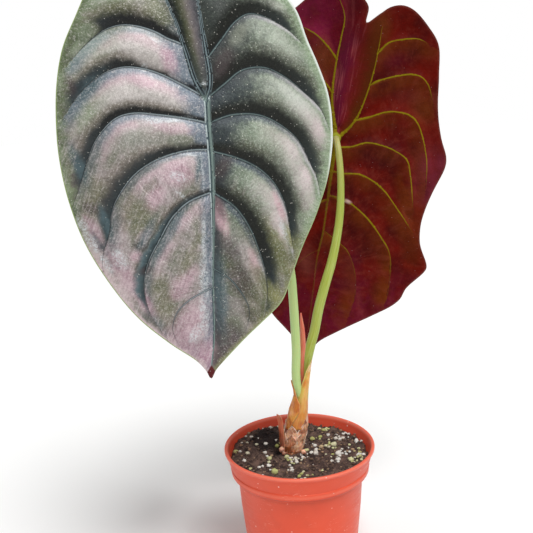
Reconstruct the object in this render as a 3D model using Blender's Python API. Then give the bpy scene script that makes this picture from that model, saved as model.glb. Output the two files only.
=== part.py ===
"""Potted red secret alocasia, 65 mm plastic nursery pot, two peltate leaves.

Frame: origin at the middle of the pot's bottom, +Z up, the front leaf looks along -Y.
Sizes below are in millimetres and become metres when a mesh is made.
"""
import math
import random

import bmesh
import bpy
import numpy as np
from mathutils import Matrix, Vector
from mathutils.geometry import delaunay_2d_cdt

MM = 0.001
GAP = 0.3

# Pot
POT_LIP_DIAMETER = 65.0
POT_HEIGHT = 56.5
POT_BASE_DIAMETER = 46.2
POT_WALL = 1.2
POT_SIDES = 40
BAND_HEIGHT = 10.8
BAND_BOTTOM_RADIUS = 29.7
BODY_TOP_RADIUS = 27.1
CHANNEL_DEPTH = 1.2
FLOOR_Z = 3.0
DRAIN_HOLES = 6
DRAIN_HOLE_RADIUS = 2.6
DRAIN_RING_RADIUS = 13.0

# Soil and plant base
SOIL_TOP_Z = 52.6
PERLITE_GRAINS = 42
BASE_CENTRE = (-2.8, 0.0)
BASE_RADIUS = 5.6
CROWN_CENTRE = (-0.6, 0.0)
CROWN_Z = 66.0
CROWN_RADIUS = 5.3
HOLE_RADIUS = 5.95
HOLE_BOTTOM_Z = 40.0

# Leaf blades
BLADE_THICKNESS = 0.75
PILLOW_RISE = 0.5
POINT_STEP = 4.0
FILL_STEP = 4.6
SEAT_RADIUS = 3.2
SEAT_DEPTH = 3.2

# Front leaf: upper face to -Y. Across (x) and lengthwise (y, tip negative), from the stalk.
FRONT_AT = (-29.2, -29.6, 204.4)
FRONT_TURN = (80.3, 2.5, 7.4)
FRONT_BEND = (0.0026, 0.0007, 0.0014)
FRONT_OUTLINE = [
    (-12.5, 52.5), (-15, 57), (-19, 60), (-24.5, 60), (-30.5, 57), (-36, 50), (-40, 42.5),
    (-45, 31.5), (-50.5, 19), (-53, 5.5), (-53.5, -12), (-52, -26), (-49, -39), (-44, -52),
    (-36.5, -65), (-26.5, -78), (-15, -88), (-6, -94.5), (-2.5, -98.5), (-0.7, -101.5), (1, -98.5),
    (4, -95), (13, -86), (22.5, -77.5), (26.5, -73), (31, -62), (35, -52), (39.5, -42.5), (44, -30.5),
    (46.5, -17.5), (47, -10), (45.5, 2.5), (41.5, 14), (37.5, 23.5), (34, 33), (27, 43), (21.5, 51),
    (15, 59), (7.5, 65), (0.5, 66.5), (-6, 63), (-10, 57),
]
FRONT_MIDRIB = [(0, 0), (0.3, -9.5), (1, -22.5), (1, -49), (0.5, -66.5), (0.5, -86), (-0.7, -98)]
FRONT_LOBE_LEFT = [(0, 0), (-4, 6.5), (-7, 16.5), (-10, 27), (-13.5, 36), (-17.5, 45), (-22, 53)]
FRONT_LOBE_RIGHT = [(0, 0), (1.3, 7.5), (0, 18.5), (-1.5, 30), (-2.4, 40), (-1.2, 51), (1, 60)]
FRONT_SIDE_VEINS = [
    [(-14.5, 38), (-20.5, 43), (-28, 44.5), (-36, 41)],
    [(-9, 23.5), (-14, 23), (-21.5, 26), (-29, 27.5), (-35.5, 26), (-42, 22.5), (-48, 17)],
    [(-0.5, 1), (-9.5, 6), (-16.5, 9.5), (-23, 11.5), (-29.5, 12), (-36, 10), (-43.5, 4.5), (-51, -5)],
    [(0, -8), (-7, -6.5), (-17, -5), (-26, -4.2), (-32, -5.7), (-37, -10), (-41, -16), (-46.5, -31),
     (-49, -37)],
    [(0.7, -17.5), (-7, -17.7), (-15.5, -19.7), (-22.5, -23), (-27.5, -27), (-32, -33), (-34.5, -38),
     (-36, -46.5), (-38.7, -55), (-39, -59.5)],
    [(1, -32.5), (-7.5, -36), (-13.5, -41.5), (-18, -49), (-22.5, -57.5), (-24.3, -66), (-22.5, -76),
     (-18.5, -83)],
    [(0.5, -67), (-7.5, -71), (-12.5, -75.5), (-14.5, -82), (-12.5, -88)],
    [(-2, 38), (4, 43), (12, 46), (20, 44.5), (27, 38)],
    [(0.8, 15), (6, 21.7), (11, 28), (16, 31), (23, 29.7), (30, 26), (36, 21)],
    [(0.5, 1), (6.3, 5.6), (13, 10.7), (21, 11.8), (28, 9), (35, 4), (42.5, -3), (45.5, -9.5)],
    [(0.5, -8), (9, -5.2), (18.5, -5.2), (26, -8.3), (33, -14), (37, -21), (40.5, -28.5), (41.8, -34.5)],
    [(1, -18), (11, -20.8), (18.5, -24.6), (24, -30), (28, -38.3), (29.7, -47.5), (31.5, -57.5)],
    [(1, -32.5), (9, -38), (14, -45), (17.7, -54), (20, -62.5), (20.7, -71), (19.5, -79)],
    [(0.5, -60), (7, -64.5), (12.5, -72.5), (13.7, -77), (12, -85.5)],
]

# Back leaf: upper face to +Y, same axes as seen from its own upper face.
BACK_AT = (22.7, 40.1, 184.0)
BACK_TURN = (84.0, -2.5, 179.4)
BACK_BEND = (0.0022, 0.0007, 0.0012)
BACK_OUTLINE = [
    (-11.5, 49.5), (-17, 53), (-21.5, 55.8), (-26.3, 56.4), (-31, 54.5), (-37.3, 48), (-42, 40.5),
    (-43.3, 27.7), (-43.8, 14), (-46.2, 1), (-49, -8), (-48.7, -12.5), (-43.5, -25), (-39.8, -38),
    (-39.7, -47.5), (-43.3, -58.5), (-42.5, -61), (-34.5, -69.5), (-31.3, -75.4), (-18.8, -83.5),
    (-9.2, -88.2), (-1.6, -92.2), (5.5, -96), (12.3, -101.5), (17, -95), (22.6, -88.4), (28, -82),
    (35, -70), (39, -58), (42, -45), (45, -32), (46, -18), (45, -5), (43, 8), (41, 20), (38, 32),
    (33, 42), (26, 50), (18, 56), (11, 61.5), (4.5, 64.5), (-2.5, 64), (-7.5, 61.3), (-12, 56),
]
BACK_MIDRIB = [(0, 0), (1.6, -16.5), (3, -29.5), (4.7, -43.5), (7.2, -55.5), (9, -72), (12, -98)]
BACK_LOBE_LEFT = [(0, 0), (-4.5, 3.2), (-9, 8.8), (-14.3, 23.4), (-17, 37), (-18.2, 48)]
BACK_LOBE_RIGHT = [(0, 0), (2, 17.4), (0.5, 34.5), (-1, 43), (-2.2, 52), (0.5, 60)]
BACK_SIDE_VEINS = [
    [(-17, 37), (-21.6, 41.3), (-27.3, 42.6), (-34, 42.8), (-38, 41)],
    [(-14.3, 23.4), (-18.6, 25.4), (-26.4, 27.4), (-32.2, 28), (-36, 27), (-39.2, 23.7), (-42, 15)],
    [(-8.5, 8), (-14.4, 9.2), (-21.4, 11.5), (-26.3, 11.8), (-32.3, 10.3), (-36, 6.5), (-40.3, -7.5),
     (-41.2, -22)],
    [(0.3, -4), (-6.8, -4), (-14, -2.1), (-20, -3), (-26.2, -5.3), (-32, -9.5), (-34, -17), (-36, -33)],
    [(1, -15), (-3.6, -16), (-11.3, -16.5), (-17.7, -19.6), (-23, -24.2), (-28.5, -31.5), (-36.5, -43)],
    [(2.7, -26), (-5.5, -28.7), (-10.8, -32.4), (-16.3, -37.7), (-21.8, -45.2), (-26.2, -53),
     (-26.6, -67), (-25.5, -76)],
    [(4, -43), (-1, -47), (-6.5, -52), (-10, -60), (-11.2, -72), (-8.4, -84)],
    [(0.5, 34.5), (4.7, 39.8), (9.7, 44.6), (17, 48.5)],
    [(1.7, 20), (8, 27), (17, 31), (27, 31), (34, 28)],
    [(0.5, 4), (8, 11), (18, 14), (28, 12.5), (36, 7), (41, -4)],
    [(0.5, -4), (9, -2), (18, -2.5), (27, -6), (35, -13), (40, -24), (41.5, -32)],
    [(1.5, -15), (10, -15), (19, -19), (27, -26), (33, -36), (36, -48), (36.5, -56)],
    [(3, -28), (11, -31), (19, -37), (26, -46), (30, -58), (31, -70)],
    [(6.5, -52), (12, -55), (18, -61), (22, -70), (22.5, -82)],
]

# Stalks: (x, y, z) of the centre line and the radius there.
STALK_FRONT = [
    (-1.2, -2.5, 66.3, 1.6), (-0.6, -2.7, 72, 1.6), (0, -3.1, 78, 1.6), (-0.1, -3.4, 83, 1.75),
    (-0.4, -3.6, 89, 1.9), (0.1, -4.2, 100, 1.85), (-0.1, -5.4, 113, 1.85), (-0.5, -7.2, 125, 1.8),
    (-1, -9, 134, 1.8), (-3.3, -11.6, 149, 1.7), (-7.4, -14.6, 165.5, 1.65), (-12.8, -17.6, 180, 1.6),
    (-19, -20.2, 191.5, 1.5), (-24.5, -21.8, 198.8, 1.5), (-28, -22.8, 202.2, 1.5),
]
STALK_BACK = [
    (1.3, 2.3, 66.3, 2.0), (2.3, 2.5, 72, 2.05), (2.9, 2.8, 79, 2.1), (3.3, 3.3, 85.6, 2.2),
    (4.6, 4.2, 93, 2.3), (6.2, 5.4, 99.2, 2.3), (8, 6.9, 105, 2.25), (10.6, 9.2, 114.6, 2.2),
    (13.9, 11.8, 123.3, 2.1), (17.2, 14.8, 132.2, 2.0), (19.8, 17.8, 141.2, 1.85),
    (21.6, 20.5, 149.4, 1.75), (22.7, 23.2, 157.2, 1.65), (23.3, 26.3, 168, 1.5),
    (23.2, 28.8, 175, 1.45), (22.9, 31.4, 180.5, 1.4),
]
NEW_LEAF = [
    (2.0, -1.9, 66.3, 1.1), (2.4, -1.5, 72, 1.1), (2.3, -1.1, 78, 1.1), (1.9, -0.6, 83.6, 1.1),
    (2.3, -0.2, 94.6, 1.1), (2.8, 0.2, 103.8, 0.95), (2.9, 0.3, 110, 0.7), (2.9, 0.3, 115.2, 0.35),
]

# Old leaf scales on the rhizome: foot height, length, facing angle, flare of the tip.
SCALE_Z = 54.6
SCALES = [
    (54.7, 8.5, 20, 0.4), (54.8, 8.0, 105, 0.5), (54.7, 9.0, 285, 0.7), (54.8, 14.0, 190, 2.4),
    (59.5, 8.2, 62, 0.5), (59.3, 7.8, 150, 0.4), (59.4, 8.4, 245, 0.3), (59.2, 7.6, 330, 0.4),
]

# Papery sheaths: share of height, centre x and y, radii along x and y, facing angle.
SHEATH_RIGHT = [(0, -0.6, 0, 4.6, 4.6, -38), (0.5, 0.6, 0.25, 3.6, 4.7, -32), (1, 2.2, 0.5, 4.3, 4.9, -8)]
SHEATH_LEFT = [(0, -0.6, 0, 4.6, 4.8, 222), (0.5, 0.0, -1.3, 2.7, 4.2, 220), (1, -0.2, -2.2, 2.9, 3.6, 225)]

COLOURS = {
    "pot": ((0.74, 0.115, 0.062), 0.42),
    "soil": ((0.022, 0.013, 0.008), 0.95),
    "rhizome": ((0.20, 0.085, 0.055), 0.75),
    "petiole_front": ((0.32, 0.46, 0.13), 0.45),
    "petiole_back": ((0.36, 0.44, 0.07), 0.42),
    "leaf_front": ((0.24, 0.19, 0.17), 0.40),
    "leaf_back": ((0.13, 0.020, 0.022), 0.48),
    "new_leaf": ((0.62, 0.13, 0.085), 0.50),
    "sheath_right": ((0.60, 0.26, 0.07), 0.55),
    "sheath_left": ((0.52, 0.17, 0.05), 0.60),
}


# Curves
def smooth_line(points, step, closed=False):
    """Even points, about step apart, on a centripetal spline through hand-chosen points."""
    pts = [np.array(p, float) for p in points]
    n = len(pts)
    if closed:
        ring = [pts[(i - 1) % n] for i in range(n + 3)]
    else:
        ring = [2 * pts[0] - pts[1]] + pts + [2 * pts[-1] - pts[-2]]
    fine = []
    for i in range(1, len(ring) - 2):
        p0, p1, p2, p3 = ring[i - 1:i + 3]
        t1 = math.sqrt(np.linalg.norm(p1 - p0))
        t2 = t1 + math.sqrt(np.linalg.norm(p2 - p1))
        t3 = t2 + math.sqrt(np.linalg.norm(p3 - p2))
        for t in np.linspace(t1, t2, 14)[:-1]:
            a1 = (t1 - t) / t1 * p0 + t / t1 * p1
            a2 = (t2 - t) / (t2 - t1) * p1 + (t - t1) / (t2 - t1) * p2
            a3 = (t3 - t) / (t3 - t2) * p2 + (t - t2) / (t3 - t2) * p3
            b1 = (t2 - t) / t2 * a1 + t / t2 * a2
            b2 = (t3 - t) / (t3 - t1) * a2 + (t - t1) / (t3 - t1) * a3
            fine.append((t2 - t) / (t2 - t1) * b1 + (t - t1) / (t2 - t1) * b2)
    fine.append(pts[0] if closed else pts[-1])
    fine = np.array(fine)
    along = np.concatenate([[0], np.cumsum(np.linalg.norm(np.diff(fine, axis=0), axis=1))])
    count = max(2, round(along[-1] / step) + 1)
    at = np.linspace(0, along[-1], count)
    even = np.stack([np.interp(at, along, fine[:, k]) for k in range(fine.shape[1])], 1)
    return even[:-1] if closed else even


def line_distance(p, line):
    """Distance to a polyline, the side it lies on (-1 to 1) and the share of length passed."""
    a, b = line[:-1], line[1:]
    ab = b - a
    length = np.maximum((ab ** 2).sum(1), 1e-12)
    t = np.clip(((p[:, None] - a) * ab).sum(2) / length, 0, 1)
    off = p[:, None] - (a + t[..., None] * ab)
    d = np.sqrt((off ** 2).sum(2))
    k = d.argmin(1)
    i = np.arange(len(p))
    side = ab[k, 0] * off[i, k, 1] - ab[k, 1] * off[i, k, 0]
    side = side / (np.sqrt(length[k]) * np.maximum(d[i, k], 1e-6))
    return d[i, k], side, (k + t[i, k]) / len(a)


def inside(p, loop):
    """Even-odd test of points against a closed loop."""
    x, y = p[:, :1], p[:, 1:]
    x1, y1 = loop[:, 0], loop[:, 1]
    x2, y2 = np.roll(x1, -1), np.roll(y1, -1)
    cross = (y1 > y) != (y2 > y)
    with np.errstate(divide="ignore", invalid="ignore"):
        hit = cross & (x < (x2 - x1) * (y - y1) / (y2 - y1) + x1)
    return hit.sum(1) % 2 == 1


# Meshes and materials
def add_object(name, verts, faces):
    """Object from millimetre vertices, with its faces turned outward and its own material."""
    mesh = bpy.data.meshes.new(name)
    mesh.from_pydata([tuple(float(c) * MM for c in v) for v in verts], [], faces)
    bm = bmesh.new()
    bm.from_mesh(mesh)
    bmesh.ops.recalc_face_normals(bm, faces=bm.faces)
    bm.to_mesh(mesh)
    bm.free()
    obj = bpy.data.objects.new(name, mesh)
    bpy.context.scene.collection.objects.link(obj)
    mesh.shade_smooth()
    return obj


def paint(obj):
    colour, roughness = COLOURS[obj.name]
    mat = bpy.data.materials.new(obj.name)
    mat.use_nodes = True
    shader = mat.node_tree.nodes["Principled BSDF"]
    shader.inputs["Base Color"].default_value = (*colour, 1.0)
    shader.inputs["Roughness"].default_value = roughness
    shader.inputs["Metallic"].default_value = 0.0
    obj.data.materials.clear()
    obj.data.materials.append(mat)


def turned(name, profile, sides):
    """Solid of revolution about Z from a closed profile of (radius, z)."""
    verts, faces = [], []
    n = len(profile)
    for k in range(sides):
        a = 2 * math.pi * k / sides
        verts += [(r * math.cos(a), r * math.sin(a), z) for r, z in profile]
    for k in range(sides):
        m = (k + 1) % sides
        for i in range(n):
            j = (i + 1) % n
            faces.append((k * n + i, m * n + i, m * n + j, k * n + j))
    return add_object(name, verts, faces)


def boolean(obj, operation, tool=None, collection=None):
    mod = obj.modifiers.new(operation, "BOOLEAN")
    mod.operation = operation
    mod.solver = "EXACT"
    if collection:
        mod.operand_type = "COLLECTION"
        mod.collection = collection
    else:
        mod.object = tool
    depsgraph = bpy.context.evaluated_depsgraph_get()
    mesh = bpy.data.meshes.new_from_object(obj.evaluated_get(depsgraph))
    obj.modifiers.clear()
    obj.data = mesh
    for used in list(collection.objects) if collection else [tool]:
        bpy.data.objects.remove(used)


def keep_outer_shell(obj):
    """Fill hollows that fusing has sealed: only the largest connected shell stays."""
    bm = bmesh.new()
    bm.from_mesh(obj.data)
    left, shells = set(bm.verts), []
    while left:
        shell, edge = set(), [left.pop()]
        while edge:
            v = edge.pop()
            shell.add(v)
            for e in v.link_edges:
                other = e.other_vert(v)
                if other in left:
                    left.discard(other)
                    edge.append(other)
        shells.append(shell)
    keep = max(shells, key=len)
    bmesh.ops.delete(bm, geom=[v for v in bm.verts if v not in keep], context="VERTS")
    bm.to_mesh(obj.data)
    bm.free()


def tube(name, path, sides, step, end_normal=None):
    """Round stalk along (x, y, z, radius) points with flat ends."""
    line = smooth_line(path, step)
    pts, radii = line[:, :3], line[:, 3]
    tangents = np.gradient(pts, axis=0)
    tangents[0] = (0, 0, 1)
    if end_normal is not None:
        tangents[-1] = end_normal
    tangents /= np.linalg.norm(tangents, axis=1)[:, None]
    side = np.array([1.0, 0, 0])
    verts, faces = [], []
    for p, t, r in zip(pts, tangents, radii):
        side = side - side.dot(t) * t
        side /= np.linalg.norm(side)
        other = np.cross(t, side)
        for k in range(sides):
            a = 2 * math.pi * k / sides
            verts.append(p + r * (math.cos(a) * side + math.sin(a) * other))
    for i in range(len(pts) - 1):
        for k in range(sides):
            m = (k + 1) % sides
            faces.append((i * sides + k, i * sides + m, (i + 1) * sides + m, (i + 1) * sides + k))
    faces.append(tuple(range(sides))[::-1])
    faces.append(tuple((len(pts) - 1) * sides + k for k in range(sides)))
    return add_object(name, verts, faces)


# Leaf blade
class Blade:
    """Upper surface and thickness of a quilted peltate blade, in its own millimetres."""

    def __init__(self, outline, midrib, lobes, side_veins, bend):
        self.margin = smooth_line(outline, 3.6, closed=True)
        self.bend = bend
        self.main = [smooth_line(m, POINT_STEP) for m in [midrib] + lobes]
        self.sides = [smooth_line(v, POINT_STEP) for v in side_veins]

    def relief(self, p):
        """Pillows between sunken veins, each one steepest towards the vein on its tip side."""
        total = np.zeros(len(p))
        for line in self.main:
            d, _, _ = line_distance(p, line)
            total += np.maximum(d, 1e-3) ** -3
        for line in self.sides:
            d, side, _ = line_distance(p, line)
            tipward = side if line[-1][0] < line[0][0] else -side
            total += np.maximum(d * (1.05 - 0.35 * tipward), 1e-3) ** -3
        reach = total ** (-1 / 3)
        return PILLOW_RISE * reach / np.sqrt(1 + (reach / 11) ** 2)

    def upper(self, p):
        x, y = p[:, 0], p[:, 1]
        across, down, up = self.bend
        bow = -across * x ** 2 - down * np.minimum(y, 0) ** 2 - up * np.maximum(y, 0) ** 2
        edge, _, _ = line_distance(p, np.vstack([self.margin, self.margin[:1]]))
        curl = -1.0 * np.clip(1 - edge / 7, 0, 1) ** 2
        return bow + curl + self.relief(p) + 0.45 * self.rib(p)

    def rib(self, p):
        """Height of the ribs: 1.2 mm at the stalk along the main veins, less along side veins."""
        high = np.zeros(len(p))
        for line in self.main:
            d, _, passed = line_distance(p, line)
            high = np.maximum(high, (1.2 - 0.85 * passed) * np.clip(1 - d / 1.7, 0, 1))
        for line in self.sides:
            d, _, passed = line_distance(p, line)
            high = np.maximum(high, (0.75 - 0.5 * passed) * np.clip(1 - d / 1.15, 0, 1))
        return high

    def lower(self, p):
        top = self.upper(p)
        e = 0.05
        gx = (self.upper(p + (e, 0)) - self.upper(p - (e, 0))) / (2 * e)
        gy = (self.upper(p + (0, e)) - self.upper(p - (0, e))) / (2 * e)
        steep = np.sqrt(1 + np.minimum(gx ** 2 + gy ** 2, 2.0))
        under = top - BLADE_THICKNESS * steep - 1.3 * self.rib(p)
        r = np.hypot(p[:, 0], p[:, 1])
        seat = -SEAT_DEPTH + np.maximum(r - SEAT_RADIUS, 0) * 1.6
        return np.minimum(under, seat)

    def shoulders(self):
        """Points beside each vein, where its rib meets the blade."""
        out = []
        for line, width in [(m, 1.7) for m in self.main] + [(s, 1.15) for s in self.sides]:
            t = np.gradient(line, axis=0)
            t /= np.linalg.norm(t, axis=1)[:, None]
            off = np.stack([-t[:, 1], t[:, 0]], 1) * width
            keep = slice(1, None) if width > 1.5 else slice(1, -3)
            out += list((line + off)[keep]) + list((line - off)[keep])
        return out

    def plan(self):
        """Flat triangulation that follows the margin and the veins."""
        verts = [tuple(p) for p in self.margin]
        n = len(verts)
        edges = [(i, (i + 1) % n) for i in range(n)]
        for line in self.main + self.sides:
            start = len(verts)
            verts += [tuple(p) for p in line]
            edges += [(start + i, start + i + 1) for i in range(len(line) - 1)]
        closed = np.vstack([self.margin, self.margin[:1]])

        def add(candidates, clear, clear_margin):
            kept = np.array(verts)
            for p in candidates:
                p = np.array(p)
                if not inside(p[None], self.margin)[0]:
                    continue
                if line_distance(p[None], closed)[0][0] < clear_margin:
                    continue
                if np.min(np.hypot(*(kept - p).T)) < clear:
                    continue
                verts.append(tuple(p))
                kept = np.vstack([kept, p])

        rings = [(SEAT_RADIUS, 12), (SEAT_RADIUS + 1.8, 14)]
        add([(r * math.cos(2 * math.pi * (k + 0.5) / m), r * math.sin(2 * math.pi * (k + 0.5) / m))
             for r, m in rings for k in range(m)], 0.5, 1.0)
        add(self.shoulders(), 1.0, 1.2)
        grid = []
        rows = int(190 / (FILL_STEP * 0.866))
        for j in range(rows):
            for i in range(int(120 / FILL_STEP)):
                grid.append((-60 + (i + 0.5 * (j % 2)) * FILL_STEP, -110 + j * FILL_STEP * 0.866))
        add(grid, 0.62 * FILL_STEP, 0.6 * FILL_STEP)
        out = delaunay_2d_cdt([Vector(v) for v in verts], edges, [], 1, 1e-4)
        return np.array([tuple(v) for v in out[0]]), [tuple(f) for f in out[2]]

    def build(self, name, at, turn):
        flat, tris = self.plan()
        n = len(flat)
        top = np.column_stack([flat, self.upper(flat)])
        bottom = np.column_stack([flat, self.lower(flat)])
        faces = list(tris) + [tuple(i + n for i in reversed(t)) for t in tris]
        count = {}
        for t in tris:
            for a, b in zip(t, t[1:] + t[:1]):
                count[(a, b)] = True
        for a, b in list(count):
            if (b, a) not in count:
                faces.append((b, a, a + n, b + n))
        obj = add_object(name, np.vstack([top, bottom]), faces)
        obj.location = Vector(at) * MM
        obj.rotation_euler = [math.radians(a) for a in turn]
        return obj

    def seat(self, at, turn):
        """Middle of the flat seat under the blade and the blade's upward normal, in world mm."""
        rot = Matrix.Rotation(math.radians(turn[2]), 3, "Z") @ Matrix.Rotation(math.radians(turn[0]), 3, "X")
        normal = np.array(rot @ Vector((0, 0, 1)))
        return np.array(at) - (SEAT_DEPTH + GAP) * normal, normal


# Pot, soil and plant base
def pot_outer():
    lip = POT_LIP_DIAMETER / 2
    band_z = POT_HEIGHT - BAND_HEIGHT
    foot = POT_BASE_DIAMETER / 2
    return [
        (0.0, 0.0), (8.0, 0.0), (8.7, CHANNEL_DEPTH), (17.3, CHANNEL_DEPTH), (18.0, 0.0),
        (foot, 0.0), (foot + 0.5, 4.0), (BODY_TOP_RADIUS, band_z - 2.4),
        (BAND_BOTTOM_RADIUS - 0.6, band_z - 0.5), (BAND_BOTTOM_RADIUS + 0.1, band_z),
        (BAND_BOTTOM_RADIUS + 0.4, band_z + 2.1), (BAND_BOTTOM_RADIUS + 0.2, band_z + 2.5),
        (lip - 0.8, POT_HEIGHT - 1.8), (lip - 0.2, POT_HEIGHT - 1.3), (lip, POT_HEIGHT - 0.7),
        (lip - 0.3, POT_HEIGHT - 0.1), (lip - 0.8, POT_HEIGHT),
    ]


def pot_inner():
    """Inner wall from the mouth down to the floor."""
    lip = POT_LIP_DIAMETER / 2
    band_z = POT_HEIGHT - BAND_HEIGHT
    return [
        (lip - 1.4, POT_HEIGHT - 0.3), (lip - 1.9, POT_HEIGHT - 1.4),
        (BAND_BOTTOM_RADIUS - POT_WALL - 0.2, band_z + 0.9), (BODY_TOP_RADIUS - POT_WALL, band_z - 1.4),
        (POT_BASE_DIAMETER / 2 - POT_WALL + 0.6, FLOOR_Z + 1.2), (POT_BASE_DIAMETER / 2 - POT_WALL - 0.8, FLOOR_Z),
    ]


def make_pot():
    profile = pot_outer() + pot_inner()
    profile += [(0.0, FLOOR_Z)]
    pot = turned("pot", profile, POT_SIDES)
    bm = bmesh.new()
    bm.from_mesh(pot.data)
    bmesh.ops.remove_doubles(bm, verts=bm.verts, dist=1e-6)
    loose = [e for e in bm.edges if not e.link_faces]
    bmesh.ops.delete(bm, geom=loose, context="EDGES")
    bmesh.ops.recalc_face_normals(bm, faces=bm.faces)
    bm.to_mesh(pot.data)
    bm.free()
    for k in range(DRAIN_HOLES):
        a = 2 * math.pi * (k + 0.57) / DRAIN_HOLES
        bpy.ops.mesh.primitive_cylinder_add(
            vertices=12, radius=DRAIN_HOLE_RADIUS * MM, depth=0.01,
            location=(DRAIN_RING_RADIUS * math.cos(a) * MM, DRAIN_RING_RADIUS * math.sin(a) * MM, 0.002))
        boolean(pot, "DIFFERENCE", tool=bpy.context.object)
    return pot


def soil_height(x, y):
    """Loose surface, a few millimetres of rise and fall, highest round the plant."""
    wave = 0.5 * math.sin(0.31 * x + 1.1) * math.cos(0.27 * y - 0.4) + 0.35 * math.sin(0.83 * x - 0.6 * y)
    mound = 0.9 * math.exp(-((x - BASE_CENTRE[0]) ** 2 + (y - BASE_CENTRE[1]) ** 2) / 130)
    return SOIL_TOP_Z + wave + mound - 0.018 * x


def inner_radius(z):
    wall = pot_inner()[::-1]
    return float(np.interp(z, [w[1] for w in wall], [w[0] for w in wall]))


def make_soil():
    sides = 36
    cx, cy = BASE_CENTRE
    radii = [HOLE_RADIUS, 9.5, 13.5, 17.5, 21.5, 25.0]
    wall_z = [POT_HEIGHT - BAND_HEIGHT + 1.2, POT_HEIGHT - BAND_HEIGHT - 1.6, FLOOR_Z + 1.5, FLOOR_Z + GAP]
    verts, faces = [], []
    for k in range(sides):
        a = 2 * math.pi * k / sides
        c, s = math.cos(a), math.sin(a)
        verts.append((cx + HOLE_RADIUS * c, cy + HOLE_RADIUS * s, HOLE_BOTTOM_Z))
        for i, r in enumerate(radii):
            f = 1 - i / (len(radii) - 1)
            x, y = cx * f + r * c, cy * f + r * s
            verts.append((x, y, soil_height(x, y)))
        edge = inner_radius(SOIL_TOP_Z) - 0.45
        verts.append((edge * c, edge * s, SOIL_TOP_Z - 0.4 + 0.3 * math.sin(3 * a) - 0.018 * edge * c))
        for z in wall_z:
            r = inner_radius(z) - 0.45
            verts.append((r * c, r * s, z))
    n = len(radii) + 2 + len(wall_z)
    for k in range(sides):
        m = (k + 1) % sides
        for i in range(n - 1):
            faces.append((k * n + i, m * n + i, m * n + i + 1, k * n + i + 1))
    faces.append(tuple(k * n for k in range(sides)))
    faces.append(tuple(k * n + n - 1 for k in reversed(range(sides))))
    soil = add_object("soil", verts, faces)
    grains = bpy.data.collections.new("grains")
    bpy.context.scene.collection.children.link(grains)
    draw = random.Random(7)
    spots = []
    while len(spots) < PERLITE_GRAINS:
        a, r = draw.uniform(0, 2 * math.pi), 27.0 * math.sqrt(draw.uniform(0.08, 1))
        x, y, size = r * math.cos(a), r * math.sin(a), draw.uniform(0.9, 1.7)
        near_plant = math.hypot(x - cx, y - cy) < HOLE_RADIUS + size + 0.8
        if near_plant or any(math.hypot(x - u, y - v) < size + w + 0.35 for u, v, w in spots):
            continue
        spots.append((x, y, size))
    for x, y, size in spots:
        bpy.ops.mesh.primitive_ico_sphere_add(subdivisions=1, radius=size * MM)
        grain = bpy.context.object
        for v in grain.data.vertices:
            v.co *= draw.uniform(0.82, 1.12)
        grain.rotation_euler = [draw.uniform(0, 3) for _ in range(3)]
        grain.location = Vector((x, y, soil_height(x, y) + 0.3 * size)) * MM
        for holder in list(grain.users_collection):
            holder.objects.unlink(grain)
        grains.objects.link(grain)
    bpy.context.view_layer.update()
    boolean(soil, "UNION", collection=grains)
    bpy.data.collections.remove(grains)
    return soil


def rhizome_x(z):
    return float(np.interp(z, [53, 57, CROWN_Z], [BASE_CENTRE[0], -2.5, CROWN_CENTRE[0]]))


def make_rhizome():
    """Short upright stem, ringed by the torn edges of old leaf scales."""
    sides = 20
    levels = np.concatenate([[HOLE_BOTTOM_Z + GAP, 50], np.linspace(54.2, CROWN_Z, 13)])
    verts, faces = [], []
    for i, z in enumerate(levels):
        f = (z - levels[0]) / (levels[-1] - levels[0])
        cx = rhizome_x(z)
        radius = BASE_RADIUS + (CROWN_RADIUS - BASE_RADIUS) * f
        for k in range(sides):
            a = 2 * math.pi * k / sides
            ring = (z * 0.30 + 0.9 * math.sin(a * 2 + 0.6)) % 1.0
            r = radius + (0.6 * ring ** 2 - 0.5 if SCALE_Z < z < CROWN_Z - 0.5 else -0.05)
            verts.append((cx + r * math.cos(a), r * math.sin(a), z))
    for i in range(len(levels) - 1):
        for k in range(sides):
            m = (k + 1) % sides
            faces.append((i * sides + k, i * sides + m, (i + 1) * sides + m, (i + 1) * sides + k))
    faces.append(tuple(reversed(range(sides))))
    faces.append(tuple((len(levels) - 1) * sides + k for k in range(sides)))
    stem = add_object("rhizome", verts, faces)
    scales = bpy.data.collections.new("scales")
    bpy.context.scene.collection.children.link(scales)
    for k, (z0, height, facing, flare) in enumerate(SCALES):
        stations = []
        for share, radius in [(0, 4.6), (0.55, 5.2), (1, 5.5 + flare)]:
            stations.append((share, rhizome_x(z0 + share * height), 0, radius, radius, facing))
        half_angle = 40 if flare < 1 else 17
        scale = scoop(f"scale_{k}", z0, height, half_angle, 0.65, stations, rows=6, cols=5)
        bpy.context.scene.collection.objects.unlink(scale)
        scales.objects.link(scale)
    bpy.context.view_layer.update()
    boolean(stem, "UNION", collection=scales)
    keep_outer_shell(stem)
    bpy.data.collections.remove(scales)
    return stem


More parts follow.
